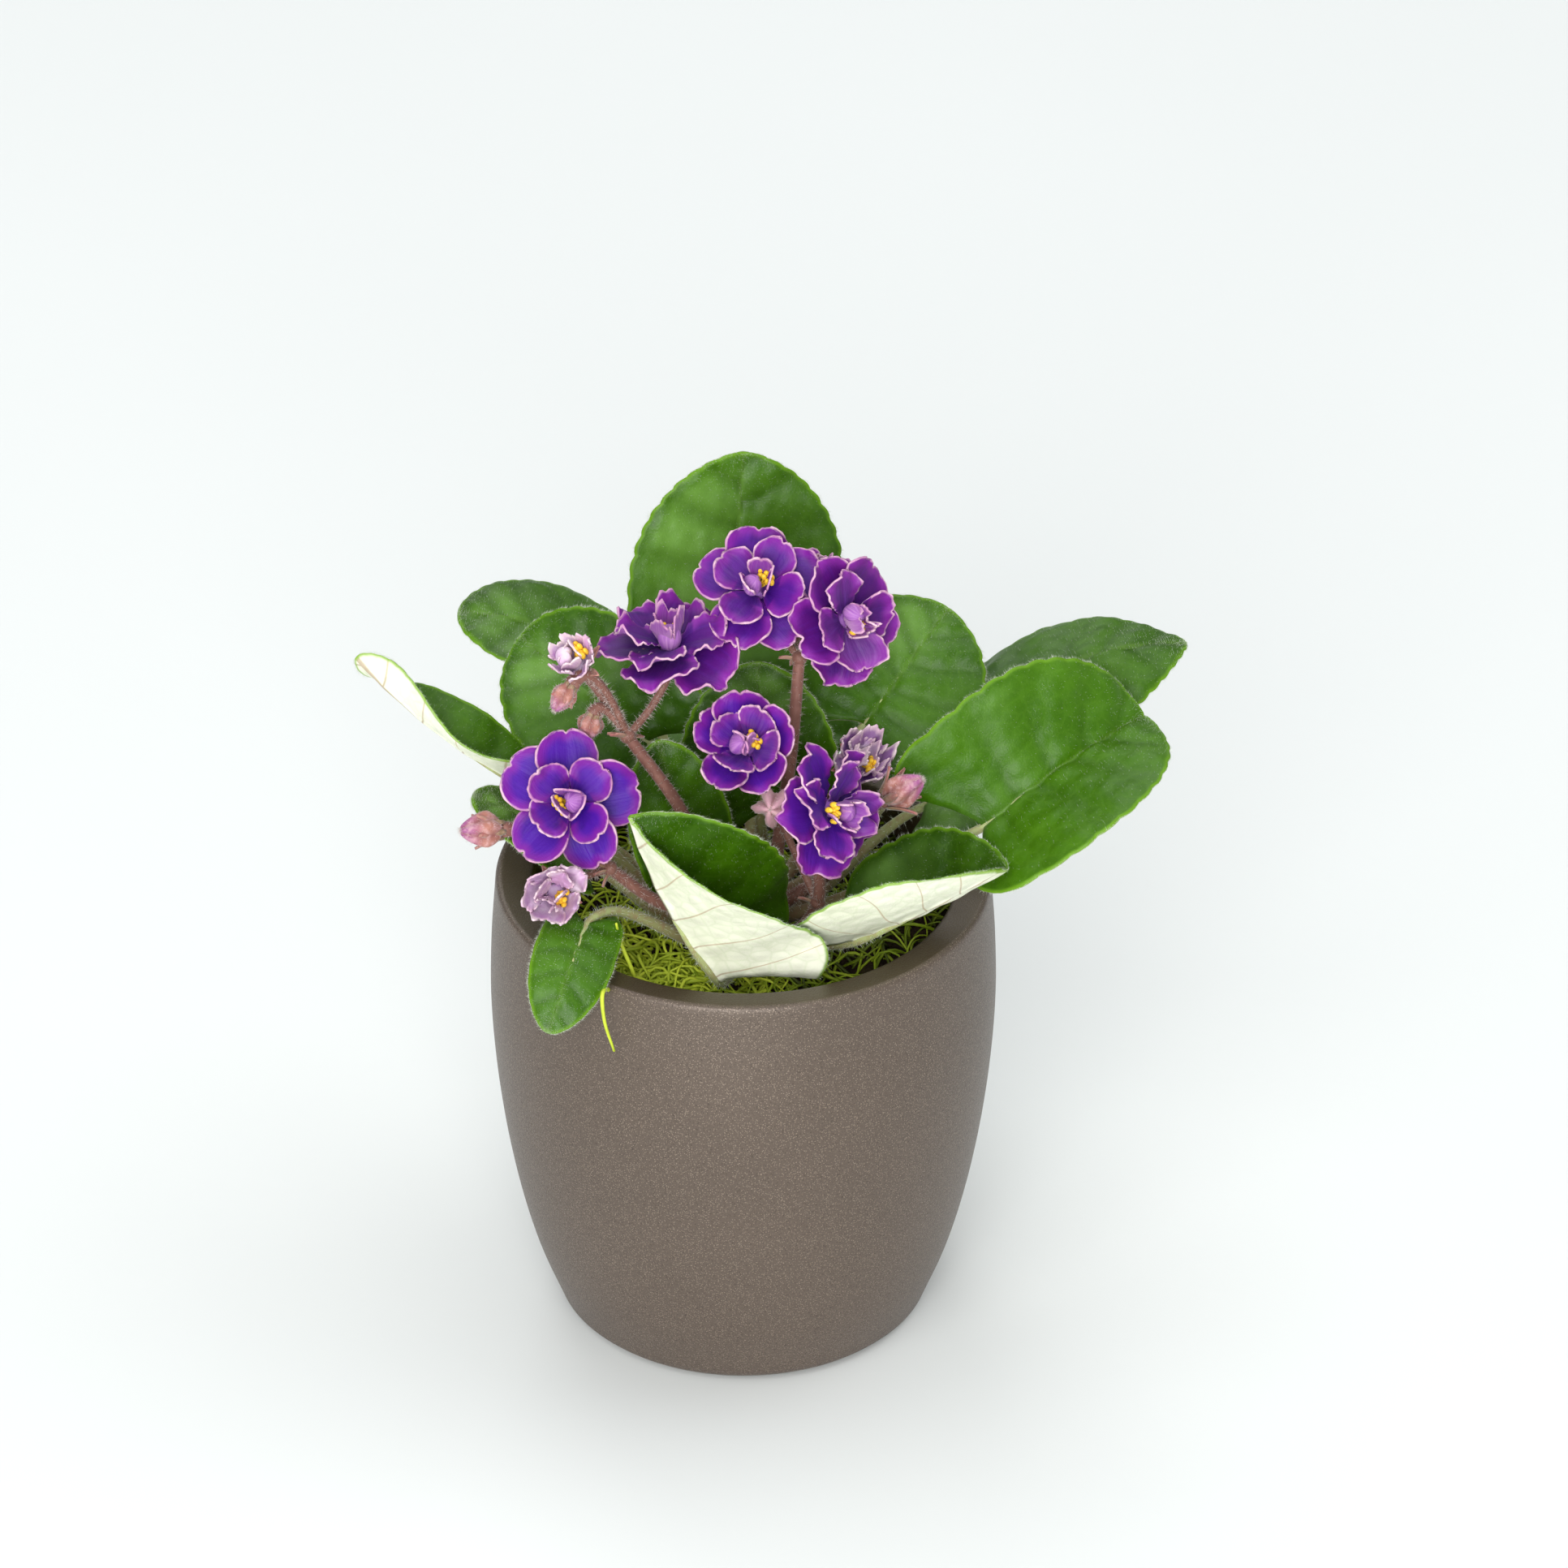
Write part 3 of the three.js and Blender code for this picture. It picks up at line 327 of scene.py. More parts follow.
class Skin:
    """Gathers the surfaces of one piece, with the values that its finish reads."""

    def __init__(self):
        self.points, self.quads, self.tris = [], [], []
        self.quad_slots, self.tri_slots = [], []
        self.values = {name: [] for name in CHANNELS}
        self.count = 0

    def add(self, points, quads=(), tris=(), finish=BODY, **values):
        points = np.asarray(points, float).reshape(-1, 3)
        for faces, kept, slots, size in (
            (quads, self.quads, self.quad_slots, 4),
            (tris, self.tris, self.tri_slots, 3),
        ):
            faces = np.asarray(faces, int).reshape(-1, size)
            kept.append(faces + self.count)
            slots.append(np.full(len(faces), finish))
        for name in CHANNELS:
            value = np.ravel(np.asarray(values.get(name, 0.0), float))
            self.values[name].append(np.broadcast_to(value, (len(points),)))
        self.points.append(points)
        self.count += len(points)

    def build(self, name, finishes, slot=None):
        """Makes the object, in metres. `finishes` names its materials. With a slot, it
        stands for the node of its name."""
        points = np.concatenate(self.points) * MM
        quads, tris = np.concatenate(self.quads), np.concatenate(self.tris)
        corners = np.concatenate([quads.ravel(), tris.ravel()])
        starts = np.r_[np.arange(len(quads)) * 4, len(quads) * 4 + np.arange(len(tris)) * 3]
        slots = np.concatenate([*self.quad_slots, *self.tri_slots])
        title = "fine_" + name if slot else name
        mesh = bpy.data.meshes.new(title)
        mesh.vertices.add(len(points))
        mesh.loops.add(len(corners))
        mesh.polygons.add(len(starts))
        mesh.vertices.foreach_set("co", points.astype(np.float32).ravel())
        mesh.loops.foreach_set("vertex_index", corners.astype(np.int32))
        mesh.polygons.foreach_set("loop_start", starts.astype(np.int32))
        mesh.polygons.foreach_set("material_index", slots.astype(np.int32))
        mesh.polygons.foreach_set("use_smooth", np.ones(len(starts), bool))
        for channel in CHANNELS:
            values = np.concatenate(self.values[channel]).astype(np.float32)
            if np.any(values):
                mesh.attributes.new(channel, "FLOAT", "POINT").data.foreach_set("value", values)
        mesh.update(calc_edges=True)
        mesh.validate()
        for finish in finishes.split():
            mesh.materials.append(FINISHES[finish])
        piece = bpy.data.objects.new(title, mesh)
        bpy.context.scene.collection.objects.link(piece)
        if slot:
            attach(piece, "root")
            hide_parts(name)
        return piece


def grid_quads(rows, columns, closed=False):
    """Faces of a grid of points stored row by row. A closed grid joins its sides."""
    j = np.arange(columns if closed else columns - 1)[None]
    k = (j + 1) % columns
    a = np.arange(rows - 1)[:, None] * columns
    return np.stack([a + j, a + k, a + columns + k, a + columns + j], axis=-1).reshape(-1, 4)


def grid_normals(points, upper):
    """Normals of a grid of points, on the side that `upper` points to."""
    normals = unit(np.cross(np.gradient(points, axis=1), np.gradient(points, axis=0)))
    rows, columns = points.shape[:2]
    return normals if normals[rows // 3, columns // 2] @ upper >= 0 else -normals


def add_sheet(skin, points, normals, over, under, finish=BODY, place=np.asarray, **values):
    """A closed sheet round a grid of points, which reaches over and under it along its
    normals and is then placed. The upper face has side 1 and the lower face side 0."""
    rows, columns = points.shape[:2]
    size = rows * columns
    faces = grid_quads(rows, columns)
    ring = np.r_[
        np.arange(columns),
        np.arange(2, rows) * columns - 1,
        np.arange(size - 1, size - columns - 1, -1),
        np.arange(rows - 2, 0, -1) * columns,
    ]
    after = np.roll(ring, -1)
    border = np.stack([ring, ring + size, after + size, after], axis=-1)
    both = {k: np.tile(np.ravel(np.broadcast_to(v, (rows, columns))), 2) for k, v in values.items()}
    faces = np.concatenate([faces, faces[:, ::-1] + size, border])
    shells = [points + normals * np.asarray(reach)[..., None] for reach in (over, under)]
    skin.add(place(np.stack(shells)), faces, finish=finish, side=np.repeat([1, 0], size), **both)


def add_rings(skin, rings, ends, finish=BODY, flip=False, **values):
    """A closed skin over rings of points, with a point at the middle of each end."""
    rows, columns = rings.shape[:2]
    k = np.arange(columns)
    after = (k + 1) % columns
    last = (rows - 1) * columns
    caps = np.concatenate([
        np.stack([np.full(columns, rows * columns), after, k], axis=-1),
        np.stack([np.full(columns, rows * columns + 1), last + k, last + after], axis=-1),
    ])
    quads = grid_quads(rows, columns, closed=True)
    if flip:
        quads, caps = quads[:, ::-1], caps[:, ::-1]
    skin.add(np.concatenate([rings.reshape(-1, 3), ends]), quads, caps, finish, **values)


def turns(count):
    """Angles that part a full turn evenly, in radians."""
    return 2 * np.pi * np.arange(count) / count


def path_frames(path):
    """Two directions across a path at each of its points, carried along smoothly."""
    tangents = unit(np.gradient(path, axis=0))
    across = [unit(np.cross(tangents[0], (0.31, 0.2, 0.93)))]
    for t in tangents[1:]:
        across.append(unit(across[-1] - t * (across[-1] @ t)))
    across = np.array(across)
    return tangents, across, np.cross(tangents, across)


def add_tube(skin, path, radii, sides, finish=BODY, **values):
    """A round stem with closed, domed ends. Returns points and normals of its side."""
    tangents, first, second = path_frames(path)
    share = np.linspace(0, 1, len(path))
    radii = np.interp(share, np.linspace(0, 1, len(radii)), radii)
    turn = turns(sides)[:, None]
    out = first[:, None] * np.cos(turn) + second[:, None] * np.sin(turn)
    rings = path[:, None] + out * radii[:, None, None]
    ends = [path[0] - tangents[0] * radii[0] * 0.5, path[-1] + tangents[-1] * radii[-1] * 0.5]
    values.setdefault("along", np.r_[np.repeat(share, sides), 0, 1])
    add_rings(skin, rings, ends, finish, **values)
    return rings.reshape(-1, 3), out.reshape(-1, 3)


def smooth_profile(points, count):
    """A smooth line through profile points, as (radius, height)."""
    return catmull([(r, 0, z) for r, z in points], count)[:, [0, 2]]


def turned(profile, facets):
    """Rings and ends of a solid of revolution, whose profile ends near the axis."""
    profile = np.asarray(profile, float)
    r, z, turn = profile[:, :1], profile[:, 1:], turns(facets)
    rings = np.stack([r * np.cos(turn), r * np.sin(turn), z * np.ones(facets)], axis=-1)
    return rings, np.array([(0, 0, profile[0, 1]), (0, 0, profile[-1, 1])])


def ball(rows, facets):
    """Points and faces of a ball of radius 1."""
    rings = turned(smooth_profile(BALL, rows), facets)[0]
    return rings.reshape(-1, 3), grid_quads(rows, facets, closed=True)


def add_hairs(skin, roots, directions, kind, spread=0.35):
    """Fine tapered hairs, three-sided, closed at the root and bent a little."""
    length, radius, _ = HAIRS[kind]
    n = len(roots)
    directions = unit(directions + rng.normal(0, spread, (n, 3)))
    bend = rng.normal(0, 0.3, (n, 3))
    lengths = length * rng.uniform(0.6, 1.25, (n, 1))
    first = unit(np.cross(directions, unit(rng.normal(0, 1, (n, 3)))))
    second = np.cross(directions, first)
    base = roots - directions * 0.15
    corners = [base + radius * (first * math.cos(a) + second * math.sin(a)) for a in turns(3)]
    tip = roots + (directions + bend * 0.5) * lengths
    points = np.stack([*corners, tip], axis=1)
    at = 4 * np.arange(n)[:, None]
    tris = np.concatenate([at + [0, 1, 3], at + [1, 2, 3], at + [2, 0, 3], at + [0, 2, 1]])
    skin.add(points, tris=tris, finish=FIBRE)


def scatter_hairs(skin, roots, normals, kind):
    pick = rng.integers(0, len(roots), HAIRS[kind][2])
    add_hairs(skin, roots[pick], normals[pick], kind)


# ---------------------------------------------------------------------- finishes

def srgb(hex_colour):
    """A linear colour from a hex one."""
    parts = [int(hex_colour[i:i + 2], 16) / 255 for i in (0, 2, 4)]
    return tuple(c / 12.92 if c <= 0.04045 else ((c + 0.055) / 1.055) ** 2.4 for c in parts)


class Finish:
    """A material whose colour, roughness and relief come from nodes."""

    def __init__(self, name):
        self.name = name
        self.material = bpy.data.materials.new(name)
        self.material.use_nodes = True
        self.tree = self.material.node_tree
        self.tree.nodes.clear()
        self.output = self.node("OutputMaterial")
        self.shader = self.node("BsdfPrincipled")
        self.put(self.output.inputs["Surface"], self.shader.outputs[0])

    def put(self, socket, value):
        """Sets a socket to a number or a hex colour, or links another socket to it."""
        if isinstance(value, bpy.types.NodeSocket):
            self.tree.links.new(value, socket)
        else:
            socket.default_value = (*srgb(value), 1.0) if isinstance(value, str) else value

    def fill(self, node, **values):
        for name, value in values.items():
            self.put(node.inputs[name.replace("_", " ")], value)

    def node(self, kind, *values, **settings):
        """A new node, with its settings and the values of its first sockets."""
        node = self.tree.nodes.new("ShaderNode" + kind)
        for name, setting in settings.items():
            setattr(node, name, setting)
        for socket, value in zip(node.inputs, values):
            self.put(socket, value)
        return node

    def value(self, channel):
        return self.node("Attribute", attribute_name=channel).outputs["Fac"]

    def place(self):
        return self.node("TexCoord").outputs["Object"]

    def vector(self, x, y, z):
        return self.node("CombineXYZ", x, y, z).outputs[0]

    def math(self, operation, *values):
        return self.node("Math", *values, operation=operation).outputs[0]

    def times(self, a, b):
        return self.math("MULTIPLY", a, b)

    def ramp(self, value, low, high, to_low=0.0, to_high=1.0):
        """Eases smoothly from one number to another as value goes from low to high."""
        numbers = (value, low, high, to_low, to_high)
        return self.node("MapRange", *numbers, interpolation_type="SMOOTHSTEP").outputs[0]

    def mix(self, share, a, b):
        node = self.node("Mix", share, data_type="RGBA")
        self.put(node.inputs[6], a)
        self.put(node.inputs[7], b)
        return node.outputs[2]

    def over(self, colour, *layers):
        """A colour with others laid over it, each by its own share."""
        for share, layer in layers:
            colour = self.mix(share, colour, layer)
        return colour

    def noise(self, scale, detail=2.0, roughness=0.5, at=None):
        node = self.node("TexNoise", at or self.place())
        self.fill(node, Scale=scale, Detail=detail, Roughness=roughness)
        return node.outputs["Fac"]

    def cells(self, scale, feature="F1"):
        node = self.node("TexVoronoi", self.place(), feature=feature)
        self.fill(node, Scale=scale)
        return node.outputs["Distance"]

    def relief(self, height, strength, distance):
        node = self.node("Bump")
        self.fill(node, Strength=strength, Distance=distance, Height=height)
        self.put(self.shader.inputs["Normal"], node.outputs[0])

    def surface(self, colour, roughness, **values):
        self.fill(self.shader, Base_Color=colour, Roughness=roughness, **values)
        return self

    def glow_through(self, colour, share):
        """Lets some of the light from behind through a thin leaf or petal."""
        thin = self.node("BsdfTranslucent", colour)
        both = self.node("MixShader", share, self.shader.outputs[0], thin.outputs[0])
        self.put(self.output.inputs["Surface"], both.outputs[0])

    def soft_skin(self, scale, colour, fleck, depth, roughness, shine, sheen):
        """A plant's soft skin: a colour with flecks of another, and a fine grain."""
        grain = self.noise(scale, 3.0, 0.6)
        self.relief(grain, 0.4, depth)
        return self.surface(
            self.mix(self.ramp(grain, 0.4, 0.7, 0.0, 0.5), colour, fleck), roughness,
            Specular_IOR_Level=shine, Sheen_Weight=sheen, Sheen_Roughness=0.4,
        )


def leaf_finish():
    """Quilted dark green above, with painted sheen on the puffs between the veins and painted shade in
    the grooves on them, and pale below with brown veins.
    """
    f = Finish("leaf")
    across = f.math("ABSOLUTE", f.value("across"))
    edge, side, tone = f.value("edge"), f.value("side"), f.value("tone")
    vein = f.times(f.math("PINGPONG", f.value("rib"), 0.5), 14.0)
    width = f.ramp(across, 0.0, 28.0, 0.6, 0.25)
    rib = f.ramp(f.math("MINIMUM", vein, across), 0.0, width, 1.0, 0.0)
    net = f.ramp(f.cells(240, "DISTANCE_TO_EDGE"), 0.0, 0.14, 1.0, 0.0)
    down = f.noise(1900, 2.0, 0.6)
    cloud = f.noise(48, 3.0, 0.55)

    # painted shade: darker along the grooves over the veins, most of all near the midrib
    groove = f.times(f.ramp(vein, 0.0, 3.5, 1.0, 0.0), f.ramp(across, 3.0, 24.0, 0.34, 0.1))
    # painted sheen: whitish-green patches on the puffs between the veins, kept off the edge
    painted_sheen = f.times(f.ramp(vein, 0.6, 5.0, 0.5, 1.0), f.ramp(f.noise(18, 1.0, 0.4), 0.5, 0.66))
    painted_sheen = f.times(painted_sheen, f.ramp(edge, 1.0, 5.0))
    green = f.over(
        f.mix(tone, "1b3a00", "3f6f00"),
        (f.ramp(cloud, 0.35, 0.7, 0.0, 0.45), "4e8000"),
        (groove, "1d4000"),
        (f.times(net, 0.08), "6c9a30"),
        (f.ramp(across, 0.1, 1.3, 0.12, 0.0), "86a84a"),
        (f.ramp(down, 0.55, 0.8, 0.0, 0.16), "8cb450"),
        (f.times(painted_sheen, 0.42), "8cbc5c"),
        (f.ramp(edge, 0.0, 1.3, 0.6, 0.0), "7aac1c"),
    )
    pale = f.over(
        f.mix(cloud, "f8fcdc", "fffff0"),
        (f.times(net, 0.18), "c4d6a0"),
        (f.times(rib, 0.7), f.mix(f.ramp(across, 0.0, 4.0), "9a7558", "c4a880")),
        (f.ramp(edge, 0.2, 1.2, 0.9, 0.0), "86b02c"),
    )
    colour = f.mix(f.ramp(side, 0.35, 0.65), pale, green)
    quilt = f.ramp(f.cells(240, "SMOOTH_F1"), 0.0, 0.8, 1.0, 0.0)
    f.relief(f.math("ADD", f.times(quilt, 0.8), f.times(down, 0.3)), 0.6, 0.0007)
    f.glow_through(f.mix(f.ramp(side, 0.35, 0.65, 0.0, 0.5), colour, "98cc0c"), 0.2)
    return f.surface(colour, f.ramp(cloud, 0.3, 0.7, 0.34, 0.44), Specular_IOR_Level=0.3,
                     Sheen_Weight=0.03, Sheen_Roughness=0.3, Sheen_Tint="d8e8c8")


def stem_finish(name, low, high, warm):
    """Stalks: flecked, and of one colour at the foot and another at the end."""
    f = Finish(name)
    return f.soft_skin(420, f.mix(f.value("along"), low, high), warm, 0.0004, 0.55, 0.35, 0.3)


def hair_finish(name, colour):
    f = Finish(name)
    f.glow_through("ffffff", 0.3)
    shade = f.mix(f.noise(300), colour, "ffffff")
    return f.surface(f.mix(0.3, colour, shade), 0.5, Specular_IOR_Level=0.4)


def petal_finish(name, faded=False):
    """Velvety violet with a pale rim, and lilac below. Faded petals are pink and white."""
    f = Finish(name)
    along, across, edge = f.value("along"), f.value("across"), f.value("edge")
    side, tone, pale = f.value("side"), f.value("tone"), f.value("rib")
    streaks = f.noise(1.0, 3.0, 0.6, at=f.vector(f.times(across, 9.0), along, tone))
    blotch = f.noise(160, 3.0, 0.6)

    inner = f.mix(tone, "3c0a5c", "320d8a")
    outer = f.mix(tone, "5a106c", "4a16a0")
    violet = f.over(
        f.mix(f.ramp(along, 0.1, 0.75), inner, outer),
        # lighter streaks along the petal: its own veining, lightened further as painted velvet sheen
        (f.ramp(streaks, 0.45, 0.8, 0.0, 0.25), "5c28a8"),
        (f.ramp(blotch, 0.5, 0.75, 0.0, 0.5), "2c0c62"),
        (f.ramp(edge, 0.6, 3.6, 0.75, 0.0), "88249a"),
    )
    if faded:
        violet = f.mix(0.4, violet, "3a1258")
        lilac = f.mix(f.ramp(blotch, 0.3, 0.7), "f0dcec", "d0a2ce")
        under, least, reach, rim = ("f0e2e0", "dcbcd2"), 0.7, 1.0, ("f0dede", "dcb8cc")
    else:
        lilac = f.mix(f.ramp(streaks, 0.3, 0.7), "9250aa", "c088c6")
        under, least, reach, rim = ("cfa4c8", "9a5aa8"), 0.3, 0.7, ("ecc6d2", "c486b2")
    under = f.mix(f.ramp(along, 0.0, 0.9), *under)
    under = f.mix(f.ramp(streaks, 0.4, 0.7, 0.0, 0.4), under, "c090c0")
    colour = f.mix(f.ramp(side, 0.35, 0.65), under, f.mix(pale, violet, lilac))
    wide = f.math("MULTIPLY_ADD", f.noise(700, 2.0, 0.5), reach, least)
    at_rim = f.times(f.ramp(edge, f.times(wide, 0.1), wide, 1.0, 0.0), 0.9)
    colour = f.mix(at_rim, colour, f.mix(f.ramp(blotch, 0.35, 0.65), *rim))
    f.relief(f.math("ADD", f.times(streaks, 1.2), f.times(f.noise(1300), 0.5)), 0.35, 0.0005)
    f.glow_through(f.mix(0.35, colour, "c070e0"), 0.16)
    return f.surface(colour, 0.46, Specular_IOR_Level=0.24, Sheen_Weight=0.1,
                     Sheen_Roughness=0.35, Sheen_Tint="c9a8ff")


def anther_finish():
    f = Finish("anther")
    grain = f.noise(1600, 2.0, 0.6)
    f.relief(grain, 0.3, 0.0002)
    return f.surface(f.mix(grain, "d99a08", "ffe04a"), 0.45, Specular_IOR_Level=0.4)


def bud_finish():
    """Dusty pink, paler where the bud has shrivelled, and darker brown in its creases as painted shade.
    """
    f = Finish("bud")
    pink = f.mix(f.ramp(f.value("along"), 0.45, 0.95), "a06a5c", "925080")
    # painted shade: darker brown in the creases between the ribs
    colour = f.over(pink, (f.value("tone"), "d9a9b4"), (f.value("rib"), "7c4a48"))
    return f.soft_skin(500, colour, "d2acae", 0.0004, 0.6, 0.3, 0.35)


def sepal_finish():
    f = Finish("sepal")
    colour = f.mix(f.ramp(f.value("along"), 0.0, 1.0), "7d6a4c", "9a5f5c")
    return f.soft_skin(600, colour, "b79a84", 0.0003, 0.6, 0.3, 0.3)


def moss_finish():
    f = Finish("moss")
    tone = f.value("tone")
    colour = f.over(
        f.mix(tone, "849c1a", "d4e244"),
        (f.ramp(f.noise(240), 0.4, 0.7, 0.0, 0.5), "a8bc28"),
        # painted shade: the strands shaded on the right, whose tone falls below zero, go dark
        (f.ramp(tone, -0.6, 0.1, 0.85, 0.0), "2c3010"),
    )
    f.glow_through("b4d428", 0.18)
    return f.surface(colour, 0.55, Specular_IOR_Level=0.35)


def soil_finish(name, dark, light):
    f = Finish(name)
    grain = f.noise(900, 4.0, 0.65)
    colour = f.mix(f.ramp(f.noise(150, 3.0), 0.5, 0.75, 0.0, 0.5), f.mix(grain, dark, light), "3d3a14")
    f.relief(f.math("ADD", f.cells(420), grain), 0.8, 0.0015)
    return f.surface(colour, 0.9, Specular_IOR_Level=0.2)


def pot_finish():
    """Bronze-brown glaze with pale specks and dark grains; the rim's top and the inside are darker, as
    painted shade.
    """
    f = Finish("pot")
    speck = f.cells(1900)
    fine = f.noise(2300, 2.0, 0.6)
    colour = f.over(
        f.mix(f.noise(14, 3.0, 0.5), "554a41", "605349"),
        (f.ramp(speck, 0.12, 0.36, 0.85, 0.0), "988879"),
        (f.ramp(fine, 0.54, 0.7, 0.0, 0.75), "3a3029"),
        # painted shade and dark reflection of the plant: the rim's top and the inside are darker
        (f.value("tone"), "463a2a"),
    )
    f.relief(f.math("ADD", fine, f.times(speck, 0.6)), 0.35, 0.0003)
    return f.surface(colour, f.ramp(fine, 0.3, 0.7, 0.36, 0.48), Metallic=0.3, Specular_IOR_Level=0.5)


def backdrop_finish():
    f = Finish("backdrop")
    return f.surface(f.mix(f.noise(2.0), "dadddc", "dee1e0"), 0.85, Specular_IOR_Level=0.15)


FINISHES = {finish.name: finish.material for finish in (
    leaf_finish(),
    stem_finish("petiole", "7b6a4a", "a9b87a", "8a5f4e"),
    hair_finish("leaf_hair", "dfe8cf"),
    stem_finish("stalk", "6d4a3e", "7a5148", "93685c"),
    hair_finish("stalk_hair", "e6d3cb"),
    petal_finish("petal"),
    petal_finish("faded", faded=True),
    anther_finish(),
    bud_finish(),
    sepal_finish(),
    moss_finish(),
    soil_finish("soil", "1d140d", "3b2a1c"),
    soil_finish("crown", "5a4632", "8f7350"),
    pot_finish(),
    backdrop_finish(),
)}


# ----------------------------------------------------------------- pot and soil

def pot_outside(z):
    heights, radii = zip(*POT_OUTSIDE)
    return np.interp(z, heights, radii)


def pot_inside(z):
    return pot_outside(z) - POT["wall"]


def build_pot():
    facets = 180
    wall = smooth_profile([(r, z) for z, r in POT_OUTSIDE[1:-1]], 60)[1:-1]
    rim = smooth_profile(POT_RIM, 8)
    rim_inner = POT_OUTSIDE[-1][1] - POT["lip"]
    lip_foot = POT["height"] - POT["lip_drop"]
    lip = smooth_profile([(rim_inner + 2, lip_foot + 0.7), (rim_inner + 0.6, lip_foot + 0.2),
                          (rim_inner, lip_foot - 1.2), (rim_inner + 0.6, lip_foot - 6)], 8)
    inside = [(pot_inside(z), z) for z in (110, 85, 60, 40, 20)]
    inside += [(pot_inside(POT["floor"]) - 4, POT["floor"]), (2, POT["floor"])]
    shell = [(2, 0), (30, 0), *smooth_profile(POT_EDGE, 8), *wall, *rim[:6]]
    lining = [*rim[6:], *lip, *inside]
    # tone 1 on the rim's top and the inside, where the finish paints shade
    tone = np.r_[np.zeros(len(shell) * facets), np.ones(len(lining) * facets), 0, 1]
    skin = Skin()
    add_rings(skin, *turned(shell + lining, facets), tone=tone)
    skin.build("pot", "pot", "pot")


def build_soil():
    foot = POT["floor"] + GAP
    hole = CROWN["neck"] + GAP
    hole_floor = SOIL_TOP - CROWN["depth"]
    side = [(pot_inside(z) - 1, z) for z in (20, 40, 60, 85)]
    top = [(r, SOIL_TOP) for r in np.linspace(pot_inside(SOIL_TOP) - 2, hole, 24)]
    bottom = [(2, foot), (pot_inside(foot) - 6, foot)]
    profile = [*bottom, *side, *top, (hole, hole_floor), (1, hole_floor)]
    skin = Skin()
    add_rings(skin, *turned(profile, 120))
    points = skin.points[0]
    level = np.abs(points[:, 2] - SOIL_TOP) < 0.01
    points[level, 2] += 1.2 * wobble(points[level], 0.22) - 0.6
    skin.build("soil", "soil", "soil")


def moss_height(r, turn):
    """Height of the moss's top, in tufts, at a radius and an angle."""
    tufts = np.sin(5 * turn + r * 0.35) * np.cos(3 * turn - r * 0.22)
    tufts = tufts + 0.5 * np.sin(11 * turn + r * 0.5)
    return SOIL_TOP + GAP + MOSS["rise"] + MOSS["bump"] * tufts


def strand_path(start, heading, length, rise, curl):
    """The path of one curly strand, which arches up and settles down again."""
    count = 10
    path = [np.array(start, float)]
    step = length / (count - 1)
    for i in range(1, count):
        heading += curl * step / 10
        slope = rise * math.cos(i / (count - 1) * math.pi * 0.9)
        path.append(path[-1] + unit((math.cos(heading), math.sin(heading), slope)) * step)
    return np.array(path)


def add_strand(skin, draws, kind, x, y):
    """One strand of moss, kept inside the pot and above the soil."""
    top = moss_height(math.hypot(x, y), math.atan2(y, x))
    path = strand_path(
        (x, y, top - kind["sunk"]), draws.uniform(0, TURN), draws.uniform(*kind["length"]),
        draws.uniform(*kind["rise"]), draws.normal(0, kind["curl"]),
    )
    reach = np.linalg.norm(path[:, :2], axis=1)
    path[:, :2] *= np.minimum(1, (pot_inside(SOIL_TOP) - MOSS["edge"]) / reach)[:, None]
    path[:, 2] = np.maximum(path[:, 2], SOIL_TOP + 2)
    thick = draws.uniform(*kind["thick"])
    # painted shade: strands on the right are made darker
    tone = draws.uniform(*kind["tone"]) - kind["shade"] * (x > 6)
    add_tube(skin, path, (thick, thick, thick * kind["end"]), 4, FIBRE, tone=tone)


def build_moss():
    hole, outer = MOSS["hole"], pot_inside(SOIL_TOP + 4) - 4
    facets = 140
    skin = Skin()
    r, a = np.meshgrid(np.linspace(hole, outer, 26), turns(facets), indexing="ij")
    top = np.stack([r * np.cos(a), r * np.sin(a), moss_height(r, a) - 0.8], axis=-1)
    top[..., 2] += 0.9 * wobble(top, 0.35)
    foot = top[[0, -1]].copy()
    foot[..., 2] = SOIL_TOP + GAP
    rings = np.concatenate([foot[1:], top[::-1], foot[:1]])
    quads = grid_quads(len(rings) + 1, facets, closed=True) % (len(rings) * facets)
    skin.add(rings, quads)
    for _ in range(MOSS["strands"]):
        radius = math.sqrt(rng.uniform(hole ** 2, (outer - 2) ** 2))
        azimuth = rng.uniform(0, 2 * np.pi)
        add_strand(skin, rng, LOOSE, radius * math.cos(azimuth), radius * math.sin(azimuth))
    front = np.random.default_rng(12)
    for _ in range(MOSS["curls"]):
        x, y = front.normal(-22, 11), front.normal(-33, 12)
        if hole < math.hypot(x, y) < outer - 3:
            add_strand(skin, front, CURLED, x, y)
    for points in STRAYS:
        add_tube(skin, catmull(points, 22), (0.6, 0.6, 0.35), 6, FIBRE, tone=0.9)
    skin.build("moss", "soil moss", "moss")


def build_crown():
    r, neck, top = CROWN["radius"], CROWN["neck"], CROWN["top"]
    low = SOIL_TOP - CROWN["depth"] + GAP
    profile = smooth_profile([
        (neck * 0.8, low), (neck, low + 3), (neck, SOIL_TOP + 1), (r, SOIL_TOP + 6),
        (r, top - 6), (r * 0.8, top - 2), (r * 0.4, top),
    ], 40)
    profile = np.stack([np.minimum(profile[:, 0], r), np.clip(profile[:, 1], low, top)], axis=1)
    skin = Skin()
    add_rings(skin, *turned(profile, 60))
    points = skin.points[0]
    above = points[:, 2] > SOIL_TOP + 3
    points[above, :2] *= (0.95 + 0.05 * wobble(points[above], 0.35))[:, None]
    skin.build("crown", "crown", "crown")


# ----------------------------------------------------------------------- leaves

